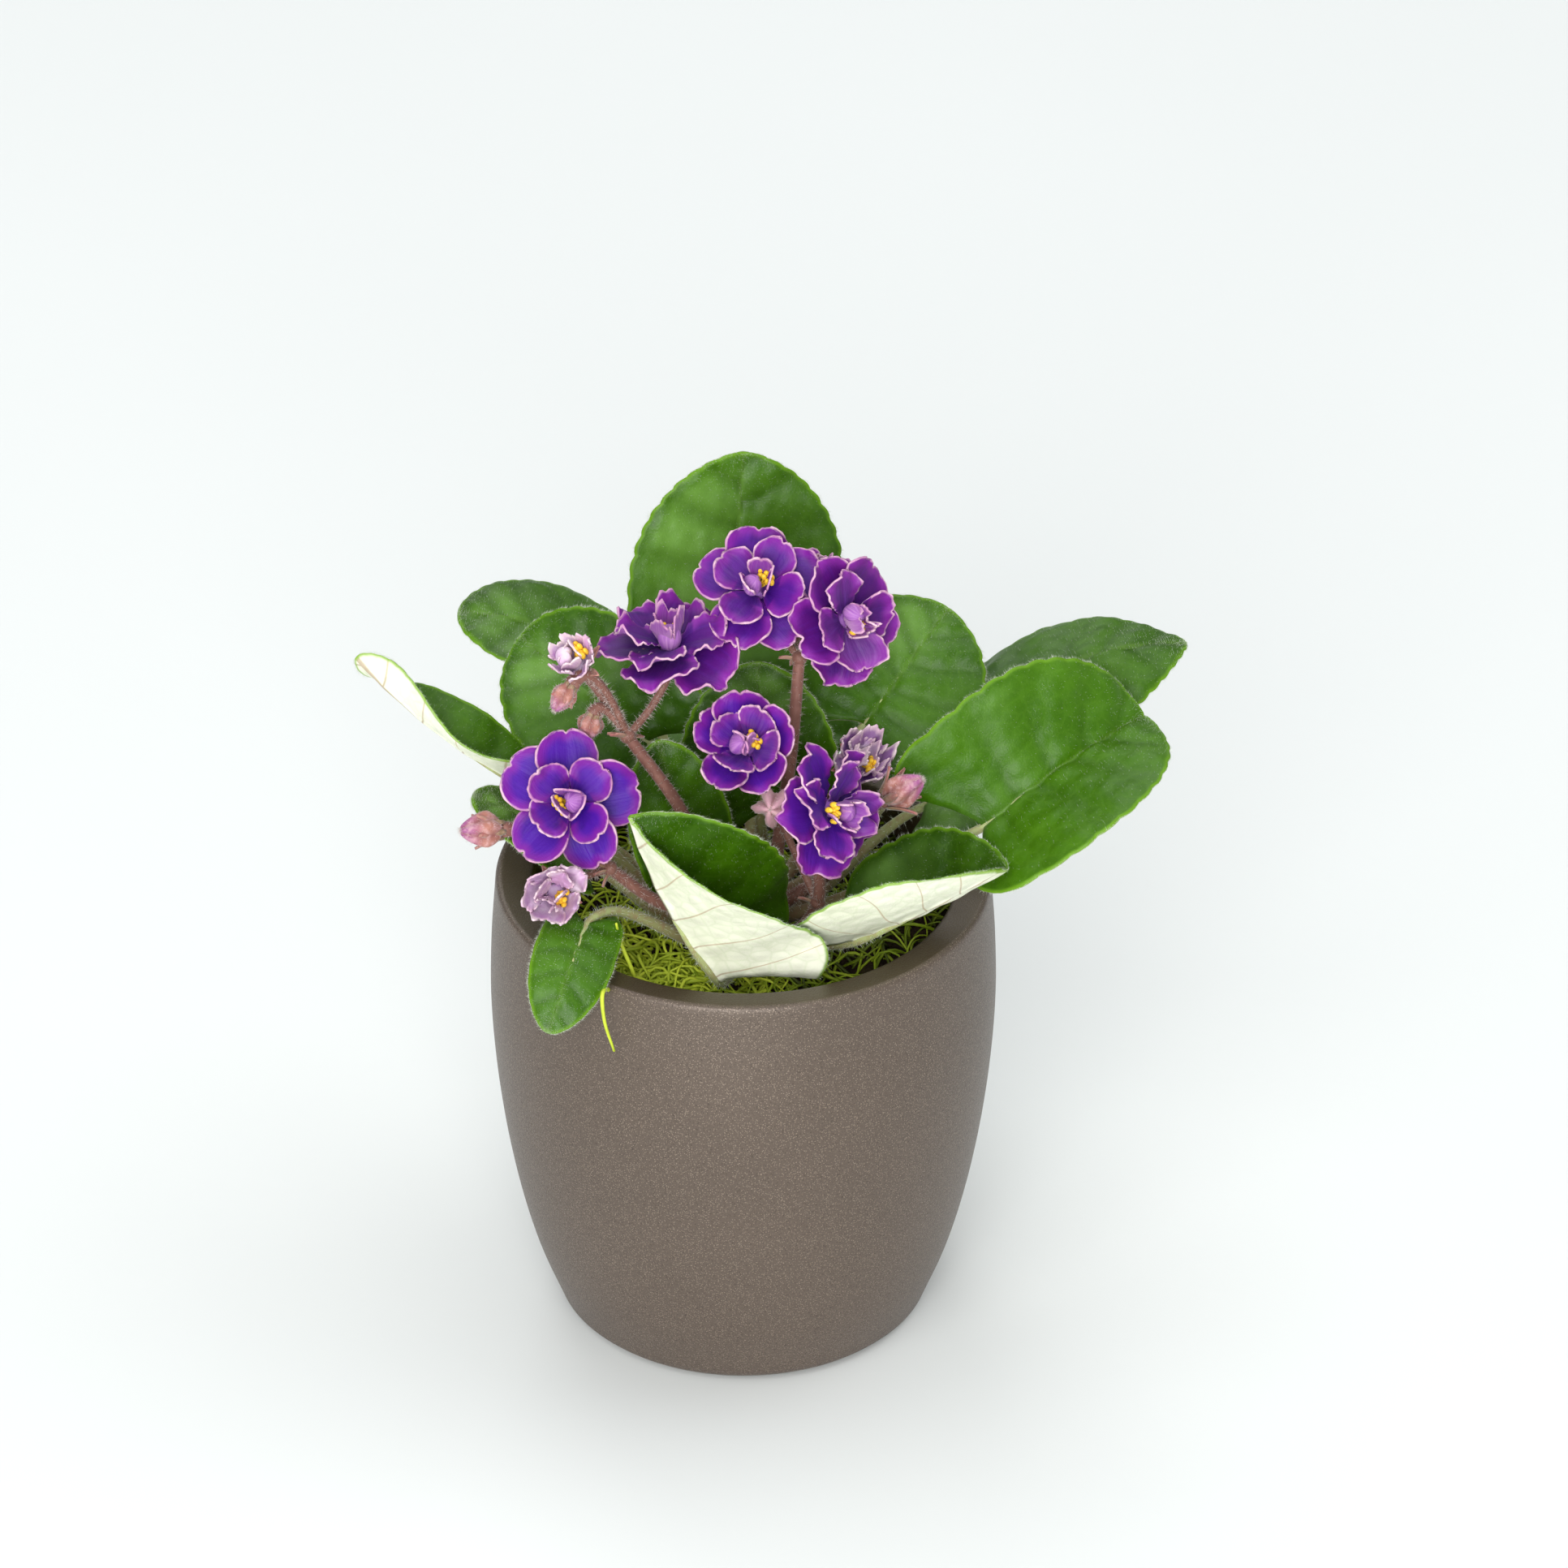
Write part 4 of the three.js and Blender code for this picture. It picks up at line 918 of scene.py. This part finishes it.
def outline_half_width(u, at_base, taper):
    """Half the blade's width, as a share of its widest, from base to tip."""
    widest = OUTLINE["widest"]
    s = np.clip(1 - u / widest, 0, 1)
    low = at_base + (1 - at_base) * np.sqrt(1 - s * s)
    low = low * (1 - OUTLINE["lobe_cut"] * np.clip(1 - u / OUTLINE["lobe_end"], 0, 1) ** 2)
    t = np.clip((u - widest) / (1 - widest), 0, 1)
    return np.where(u < widest, low, (1 - t * t) ** taper)


class Blade:
    """A leaf's blade: places on it from u, base to tip, and v, right edge to left."""

    def __init__(self, leaf):
        self.leaf = leaf
        self.base = np.array(leaf["base"], float)
        along = np.array(leaf["tip"], float) - self.base
        self.length = float(np.linalg.norm(along))
        self.along = along / self.length
        face = np.array(leaf["face"], float)
        self.face = unit(face - self.along * (face @ self.along))
        self.left = np.cross(self.face, self.along)
        self.half = leaf["width"] / 2

    def turn(self, x):
        """How far the blade has twisted at x, in radians."""
        base, middle, tip = self.leaf["twist"]
        slope, bend = 4 * middle - 3 * base - tip, 2 * (base + tip - 2 * middle)
        return np.radians(base + slope * x + bend * x * x)

    def at(self, u, v, out=0.0):
        """Points of the blade, with how far along and across it they lie."""
        leaf = self.leaf
        u, v, out = np.broadcast_arrays(np.asarray(u, float), v, out)
        span, right = np.abs(v), v < 0
        x = u - OUTLINE["lobe_back"] * (1 - u) ** 2.4 * span ** 1.5
        ahead = np.maximum(0, x)
        at_base, taper = (np.where(right, *leaf[key][::-1]) for key in ("lobes", "taper"))
        share = span * (outline_half_width(u, at_base, taper) + out / self.half)
        left_side, right_side = (
            turning_line(share, leaf["fold"][k], leaf["curl"][k], self.half) for k in (0, 1)
        )
        level, raised = np.where(right, right_side, left_side)
        bow = 4 * leaf["arch"]
        slope = np.arctan2(bow * (1 - 2 * ahead), self.length)[..., None]
        turn = self.turn(ahead)
        up = turned_about(self.face * np.cos(slope) - self.along * np.sin(slope), self.along, turn)
        beside = turned_about(np.broadcast_to(self.left, up.shape), self.along, turn)
        height = bow * np.where(x > 0, x * (1 - x), x)
        points = (self.base + self.along * (x * self.length)[..., None]
                  + self.face * height[..., None]
                  + beside * (level * np.sign(v))[..., None] + up * raised[..., None])
        return points, x * self.length, share * self.half * np.sign(v)


def vein_phase(along, across, length, half):
    """A number that is whole on every side vein and halfway between them."""
    reach = np.abs(across) * (np.abs(across) / half) ** 0.2
    low, high = -0.15, 1.15  # shares of the length over which the veins leave the midrib
    start = (along - low * reach) / (1 + (high - low) * reach / length)
    phase = 5.2 * np.maximum(start / length + 0.12, 0) ** 0.85
    drift = 0.12 * np.sin(along / 9 + length) * np.sin(across / 7 + half)
    return phase + drift + np.where(across < 0, 0.45, 0)


def edge_distance(along, across):
    """How far each point of a flat grid lies from the grid's free border."""
    flat = np.stack([along, across], axis=-1)
    rim = np.concatenate([flat[:, 0], flat[-1], flat[:, -1]])
    gaps = flat.reshape(-1, 1, 2) - rim[None]
    return np.sqrt((gaps ** 2).sum(-1).min(axis=1)).reshape(flat.shape[:2])


def add_blade(skin, leaf):
    """The blade of a leaf: scalloped, puffed up between its veins and grooved on them."""
    blade = Blade(leaf)
    rows, columns = 66, 53
    step = np.arange(rows) / rows
    u = 1 - (1 - step[:, None]) ** 1.5
    spread = np.linspace(-1, 1, columns)[None]
    v = np.sign(spread) * np.abs(spread) ** 1.15
    span = np.abs(v)
    teeth = max(8, round(blade.length / LEAF["tooth_pitch"]))
    bumps = np.abs(np.sin(np.pi * teeth * (step + 0.02))) ** 0.8 - 0.45
    bumps = bumps * np.minimum(1, step * 12) * min(1, blade.half / 24) ** 2
    points, along, across = blade.at(u, v, LEAF["tooth"] * bumps[:, None] * span ** 3)
    normals = grid_normals(points, blade.face)
    phase = vein_phase(along, across, blade.length, blade.half)
    away = np.minimum(1, 6 * (1 - span)) * np.minimum(1, 8 * (1 - u) + 0.1)
    puff = 0.5 - 0.5 * np.cos(2 * np.pi * phase)
    links = np.cos(2 * np.pi * (np.abs(across) / QUILT["link_pitch"] + 0.5 * np.floor(phase)))
    lift = away * (QUILT["puff"] * puff ** 0.7 + QUILT["link"] * puff * links) * min(1, blade.half / 22)
    lift = lift + QUILT["ripple"] * wobble(points, 0.11, blade.length) * (0.3 + 0.7 * span ** 2)
    rib = np.exp(-(across / QUILT["rib"]) ** 2) * (1 - 0.7 * u)
    thick = LEAF["thickness"] * (1 - 0.45 * span ** 6)
    over = lift + thick / 2 - QUILT["groove"] * rib
    under = 0.4 * lift - thick / 2 - QUILT["keel"] * rib
    edge = np.minimum(edge_distance(along, across), 6)
    add_sheet(skin, points, normals, over, under,
              along=along, across=across, rib=phase, edge=edge, tone=leaf["tone"])
    add_blade_hairs(skin, points + normals * lift[..., None], normals, thick[0])
    return blade


def add_blade_hairs(skin, points, normals, thick):
    """Short white hairs: outwards all round the edge and upright over both faces."""
    rows, columns = points.shape[:2]
    outwards = -unit(points[:, [1, -2]] - points[:, [0, -1]])
    for k, column in enumerate((0, columns - 1)):
        pick = rng.uniform(0, rows - 1.01, HAIRS["edge"][2])
        i, w = pick.astype(int), (pick % 1)[:, None]
        roots = points[i, column] * (1 - w) + points[i + 1, column] * w
        add_hairs(skin, roots, outwards[i, k], "edge")
    for sign, kind in ((1, "upper"), (-1, "lower")):
        count = HAIRS[kind][2]
        i = rng.integers(1, rows - 1, count)
        j = rng.integers(1, columns - 1, count)
        shift = rng.uniform(0, 1, (count, 1))
        after = np.minimum(j + 1, columns - 2)
        roots = points[i, j] * (1 - shift) + points[i, after] * shift
        roots = roots + normals[i, j] * (sign * thick[j] / 2)[:, None]
        add_hairs(skin, roots, normals[i, j] * sign, kind, spread=0.3)


def petiole_path(leaf, blade):
    """From the crown to the blade, and on along the underside of its midrib."""
    azimuth, height = leaf["root"]
    foot = polar(CROWN["radius"] + LEAF["petiole_foot"] + GAP, azimuth, height)
    join = blade.at(0.02, 0.0)[0] - blade.face * 0.9
    pull = np.linalg.norm(join - foot) * 0.33
    outwards = unit(polar(1, azimuth, 0.35))
    arrive = unit(blade.along + outwards * 0.6)
    stalk = bezier([foot, foot + outwards * pull, join - arrive * pull, join], 26)
    on_rib = [blade.at(u, 0.0)[0] - blade.face * (0.9 - 1.25 * u) for u in (0.08, 0.16, 0.26, 0.4)]
    return evenly(np.concatenate([stalk, on_rib]), 34)


def build_leaf(leaf):
    skin = Skin()
    blade = add_blade(skin, leaf)
    radii = (LEAF["petiole_foot"], 1.75, 1.5, LEAF["petiole_end"], 0.5)
    roots, normals = add_tube(skin, petiole_path(leaf, blade), radii, 12, EXTRA)
    free = int(len(roots) * 0.8)
    scatter_hairs(skin, roots[:free], normals[:free], "stem")
    skin.build("leaf_" + leaf["name"], "leaf leaf_hair petiole", "leaf")


# ----------------------------------------------------------------------- blooms

def petal_half_width(s):
    """Half a petal's width from its root to its end, as a share of its widest."""
    widest = PETAL["widest"]
    low = np.sin(np.pi / 2 * np.clip(s / widest, 0, 1)) ** 0.85
    t = np.clip((s - widest) / (1 - widest), 0, 1)
    high = (1 - t ** 2.3) ** (1 / 2.3)
    return PETAL["claw"] + (1 - PETAL["claw"]) * np.where(s < widest, low, high)


def add_petal(skin, petal, place, bloom):
    """One petal, with a notched end, a crease down its middle and a frilled border."""
    rows, columns = 22, 27
    s = 0.03 + 0.967 * (1 - (1 - np.linspace(0, 1, rows)[:, None]) ** 1.5)
    v = np.linspace(-1, 1, columns)[None]
    length, half = petal["length"], petal["width"] / 2
    a, b, c = rng.uniform(0, TURN, 3)
    notch = 1 - PETAL["notch"] * np.exp(-(v / 0.3) ** 2) * np.clip((s - 0.6) / 0.4, 0, 1) ** 2
    across = v * half * petal_half_width(s)
    reach = s * notch * (1 - 0.1 * (np.abs(across) / half) ** 2)
    level, raised = turning_line(reach, petal["rise"], petal["bend"], length)
    around = np.arctan2(across, (reach - 0.45) * length)
    gap = edge_distance(reach * length, across)
    rim = np.clip(1 - gap / FRILL["reach"], 0, 1)
    frill = FRILL["broad"] * (np.sin(4 * around + a) + 0.5 * np.sin(7 * around + b)) * rim ** 1.5 * s
    frill = frill + FRILL["fine"] * np.sin(15 * around + c) * rim ** 4
    crease = PETAL["crease"] * np.exp(-(v / 0.16) ** 2) * np.sin(np.pi * s)
    out, up = petal["root"]
    height = up + raised + petal["cup"] * across * v + petal["lean"] * across
    height = height + petal["wave"] * bloom["size"] * frill - crease
    points = spun(np.stack([out + level, across, height], axis=-1), petal["azimuth"])
    tilt = math.radians(petal["rise"] + petal["bend"] * 0.5)
    upper = polar(-math.sin(tilt), petal["azimuth"], math.cos(tilt))
    thick = PETAL["thickness"] * (0.75 + 0.45 * rim ** 3) / 2
    add_sheet(skin, points, grid_normals(points, upper), thick, -thick, place=place,
              along=s, across=v + petal["seed"], edge=gap + 2 * (s < 0.3),
              rib=petal["pale"], tone=bloom["blue"])


def build_bloom(bloom):
    skin = Skin()
    place, size, layers = placing(bloom), bloom["size"], bloom["layers"]
    core, back, front = CORE["radius"], CORE["back"], CORE["front"]
    rings, ends = turned(smooth_profile([
        (core * 0.3, -back), (core * 0.6, -back), (core, 0), (core * 0.75, front * 0.9), (0.5, front),
    ], 16), 20)
    add_rings(skin, place(rings), place(ends), side=1.0, edge=5.0, rib=0.5, tone=bloom["blue"])
    for root, layer in zip(RING_ROOTS, layers):
        count, stray = layer["count"], layer["stray"]

        def astray(key):
            return STRAY[key] * stray * rng.uniform(-1, 1)

        for i in range(count):
            odd = 1 if i % 2 else -1
            pale = layer["pale"] + bloom["fade"]
            petal = dict(
                root=root,
                length=layer["length"] * size * (1 - 0.1 * stray * rng.uniform(0, 1)),
                width=layer["width"] * size * rng.uniform(0.9, 1.06),
                rise=layer["rise"] + 2 * odd + astray("rise"),
                bend=layer["bend"] + astray("bend"),
                cup=layer["cup"] + astray("cup"),
                wave=layer["wave"] * bloom["ruffle"] * rng.uniform(0.6, 1.5),
                pale=np.clip(pale + 0.25 * (stray - 0.6) * rng.uniform(-1, 1), 0, 1),
                lean=PETAL["lean"] + astray("lean"),
                azimuth=layer["start"] + 360 / count * i + 3 * odd + astray("azimuth"),
                seed=rng.uniform(0, 40),
            )
            add_petal(skin, petal, place, bloom)
    if layers is not FADED:
        add_hood(skin, bloom, place)
    finish = "faded" if layers in (FADED, OPENING) else "petal"
    skin.build(bloom["name"], finish, "faded" if layers is FADED else "petal")


def add_hood(skin, bloom, place):
    """The innermost petal, rolled into a rounded hood that leans over the anthers."""
    rows, columns = 18, 28
    down = np.linspace(0.02, math.pi - 0.3, rows)[:, None]
    around = np.linspace(-math.pi, math.pi, columns, endpoint=False)[None]
    out = np.sin(down)
    crease = 0.3 * np.exp(-(around / 0.4) ** 2) * out
    dents = 0.05 * np.sin(3 * around + bloom["spin"]) * out ** 2
    radius = HOOD["radius"] * bloom["size"] * (1 - crease + dents)
    x = radius * out * np.cos(around)
    y = HOOD["breadth"] * radius * out * np.sin(around)
    z = HOOD["tall"] * radius * np.cos(down)
    c, s = math.cos(math.radians(HOOD["tilt"])), math.sin(math.radians(HOOD["tilt"]))
    base = CORE["front"] + HOOD["height"]
    rings = np.stack([x * c + z * s + HOOD["back"], y, z * c - x * s + base], axis=-1)
    rings = spun(rings, bloom["eye"] - bloom["spin"])
    ends = rings[[0, -1]].mean(axis=1)
    values = dict(along=(1 - down / math.pi, 1, 0), across=(around / 3, 0, 0),
                  edge=(0.25 + 3.2 * np.abs(around) * out, 2, 2))
    for name, (value, *at_ends) in values.items():
        values[name] = np.r_[np.ravel(np.broadcast_to(value, x.shape)), at_ends]
    values.update(side=1.0, rib=1.0, tone=bloom["blue"])
    add_rings(skin, place(rings), place(ends), flip=True, **values)


def build_anthers(bloom):
    """Plump two-lobed yellow pollen sacs on short stalks, among the inner petals."""
    skin = Skin()
    place, eye = placing(bloom), bloom["eye"] - bloom["spin"]
    start = CORE["front"] + GAP
    sac, faces = ball(9, 12)
    for x, y, z, tilt in ANTHERS:
        path = np.array([[x * 0.3, y * 0.3, start], [x * 0.7, y * 0.7, start + 1.2], [x, y, z]])
        add_tube(skin, place(spun(path, eye)), (0.4, 0.35, 0.3), 6)
        for side in (-0.62, 0.62):
            lobe = spun(sac * (0.75, 0.85, 1.35) + (side, 0, 0), tilt) + (x, y, z)
            skin.add(place(spun(lobe, eye)), faces)
    skin.build(bloom["name"].replace("bloom", "anthers"), "anther", "anther")


# --------------------------------------------------------------- buds and stalks

def build_bud(bud):
    """A closed bud with five creased ribs, wrinkled all over if it has shrivelled."""
    skin = Skin()
    place, length, crumple = placing(bud), bud["length"], bud["crumple"]
    rings, ends = turned(smooth_profile(BUD, 26) * (bud["radius"], length), 50)
    angle = np.arctan2(rings[..., 1], rings[..., 0])
    height = rings[..., 2] / length
    ribs = np.cos(5 * angle + 1.5 * height)
    wrinkles = 0.07 * crumple * np.sin(17 * angle + 9 * height)
    rings[..., :2] *= (1 - (0.13 + 0.17 * crumple) * ribs + wrinkles)[..., None]
    rings = place(rings)
    along = np.r_[np.ravel(height + 0.5), 0, 1]
    # painted shade in the creases, read by the bud's finish
    crease = 0.7 * np.r_[np.ravel(0.5 + 0.5 * ribs) ** 3, 0, 0]
    add_rings(skin, rings, place(ends), along=along, rib=crease, tone=0.8 * crumple)
    sides = rings.reshape(-1, 3)
    scatter_hairs(skin, sides, unit(sides - bud["at"]), "bud")
    skin.build(bud["name"], "bud stalk_hair", "bud")


def add_sepal(skin, foot, heading, away, length):
    """One narrow pointed calyx lobe, closed and slightly keeled."""
    rows, columns = 8, 5
    s = np.linspace(0, 1, rows)[:, None]
    v = np.linspace(-1, 1, columns)[None]
    half = SEPAL["width"] / 2 * np.maximum(np.sin(np.pi * (0.12 + 0.86 * s)) ** 0.8, 0.06)
    lift = 0.18 * length * s ** 2 - 0.25 * SEPAL["width"] * np.abs(v)
    points = (foot + heading * (length * s)[..., None] + np.cross(heading, away) * (v * half)[..., None]
              + away * lift[..., None])
    thick = SEPAL["thickness"] / 2
    add_sheet(skin, points, grid_normals(points, away), thick, -thick, EXTRA, along=s)


def add_calyx(skin, end, facing, radius, length, opening, count=5):
    """The calyx lobes round the end of a shoot."""
    first = unit(np.cross(facing, (0.2, 0.5, 0.83)))
    second = np.cross(facing, first)
    for i in range(count):
        a = 2 * math.pi * (i + 0.3) / count
        away = first * math.cos(a) + second * math.sin(a)
        heading = unit(facing * math.cos(opening) + away * math.sin(opening))
        outward = unit(away - heading * (away @ heading))
        add_sepal(skin, end + away * radius * 0.8, heading, outward, length)


def build_stalk(stalk):
    """A stalk with a swelling at each bend it branches from, its shoots and calyxes."""
    skin = Skin()
    azimuth, height = stalk["root"]
    foot = polar(CROWN["radius"] + STALK["foot"] + GAP, azimuth, height)
    bends = [np.array(p, float) for p in stalk["path"]]
    main = evenly(catmull([foot, *bends], 60), 40)
    tubes = [add_tube(skin, main, (STALK["foot"], STALK["node"]), 14)]
    node, faces = ball(13, 18)
    for bend in sorted({k for _, k in stalk["heads"]}):
        skin.add(node * STALK["swelling"] + bends[bend], faces, along=0.5)
    for name, bend in stalk["heads"]:
        head = next(h for h in [*BLOOMS, *BUDS] if h["name"] == name)
        facing, start = unit(head["facing"]), bends[bend]
        if "layers" in head:
            back, girth, length, opening = CORE["back"], 2.2, 6.5, 0.95
        else:
            back, girth = head["length"] / 2, head["radius"] * 0.75
            length, opening = head["length"] * 0.75, head["sepals"]
        end = head["at"] - facing * (back + GAP)
        middle = end - facing * np.linalg.norm(end - start) * 0.45
        path = evenly(bezier([start, middle, end], 30), 26)
        tubes.append(add_tube(skin, path, SHOOT_RADII, 12))
        add_calyx(skin, end - facing * 0.4, facing, girth, length, opening)
        add_calyx(skin, start, unit(middle - start), 1.6, 4.5, 0.6, count=1)
    for roots, normals in tubes:
        scatter_hairs(skin, roots, normals, "stem")
    skin.build(stalk["name"], "stalk stalk_hair sepal", "stalk")


# ------------------------------------------------------------ floor, light, camera

def build_floor():
    half, z = 4000, -0.2
    skin = Skin()
    skin.add([(-half, -half, z), (half, -half, z), (half, half, z), (-half, half, z)], [(0, 1, 2, 3)])
    floor = skin.build("floor", "backdrop")


def add_light(name, place, size, power, colour=(1.0, 1.0, 1.0), aim=(0, 0, 0.14)):
    data = bpy.data.lights.new(name, "AREA")
    data.shape = "DISK"
    data.size = size
    data.energy = power
    data.color = colour
    light = bpy.data.objects.new(name, data)
    light.location = place
    light.rotation_euler = (Vector(aim) - Vector(place)).to_track_quat("-Z", "Y").to_euler()
    bpy.context.scene.collection.objects.link(light)


def light_scene():
    world = bpy.data.worlds.new("studio")
    world.use_nodes = True
    background = world.node_tree.nodes["Background"]
    background.inputs["Color"].default_value = (0.95, 0.98, 1.0, 1)
    background.inputs["Strength"].default_value = 0.44
    bpy.context.scene.world = world
    add_light("top", (-0.2, 0.6, 3.1), 2.0, 24)
    add_light("back", (-0.7, 2.6, 2.2), 1.8, 20, aim=(0, 0.4, 0.14))
    add_light("right", (1.7, 0.3, 2.8), 2.4, 22)
    add_light("key", (-0.7, -2.6, 2.4), 3.0, 64, (1.0, 0.995, 0.98))
    add_light("front", (-0.3, -3.1, 1.0), 2.4, 94, (1.0, 1.0, 0.995))
    view = bpy.context.scene.view_settings
    view.view_transform = "Standard"
    view.look = "None"
    view.exposure = 0.0


def set_camera():
    aim = Vector((0, 0, 0.060))
    down = math.radians(34.3)
    distance = 2.0
    camera = bpy.data.objects.new("camera", bpy.data.cameras.new("camera"))
    camera.location = aim + Vector((0, -math.cos(down), math.sin(down))) * distance
    camera.rotation_euler = (math.pi / 2 - down, 0, 0)
    camera.data.sensor_width = 36
    camera.data.lens = 164.5
    camera.data.shift_x = 0.0259
    camera.data.shift_y = 0.2006
    camera.data.clip_start = 0.1
    camera.data.clip_end = 50
    bpy.context.scene.collection.objects.link(camera)
    bpy.context.scene.camera = camera


# ------------------------------------------------------------------- assembling

set_camera()
light_scene()
build_floor()
build_pot()
build_soil()
build_moss()
build_crown()
for leaf in LEAVES:
    build_leaf(leaf)
for stalk in STALKS:
    build_stalk(stalk)
for bloom in BLOOMS:
    build_bloom(bloom)
    build_anthers(bloom)
for bud in BUDS:
    build_bud(bud)
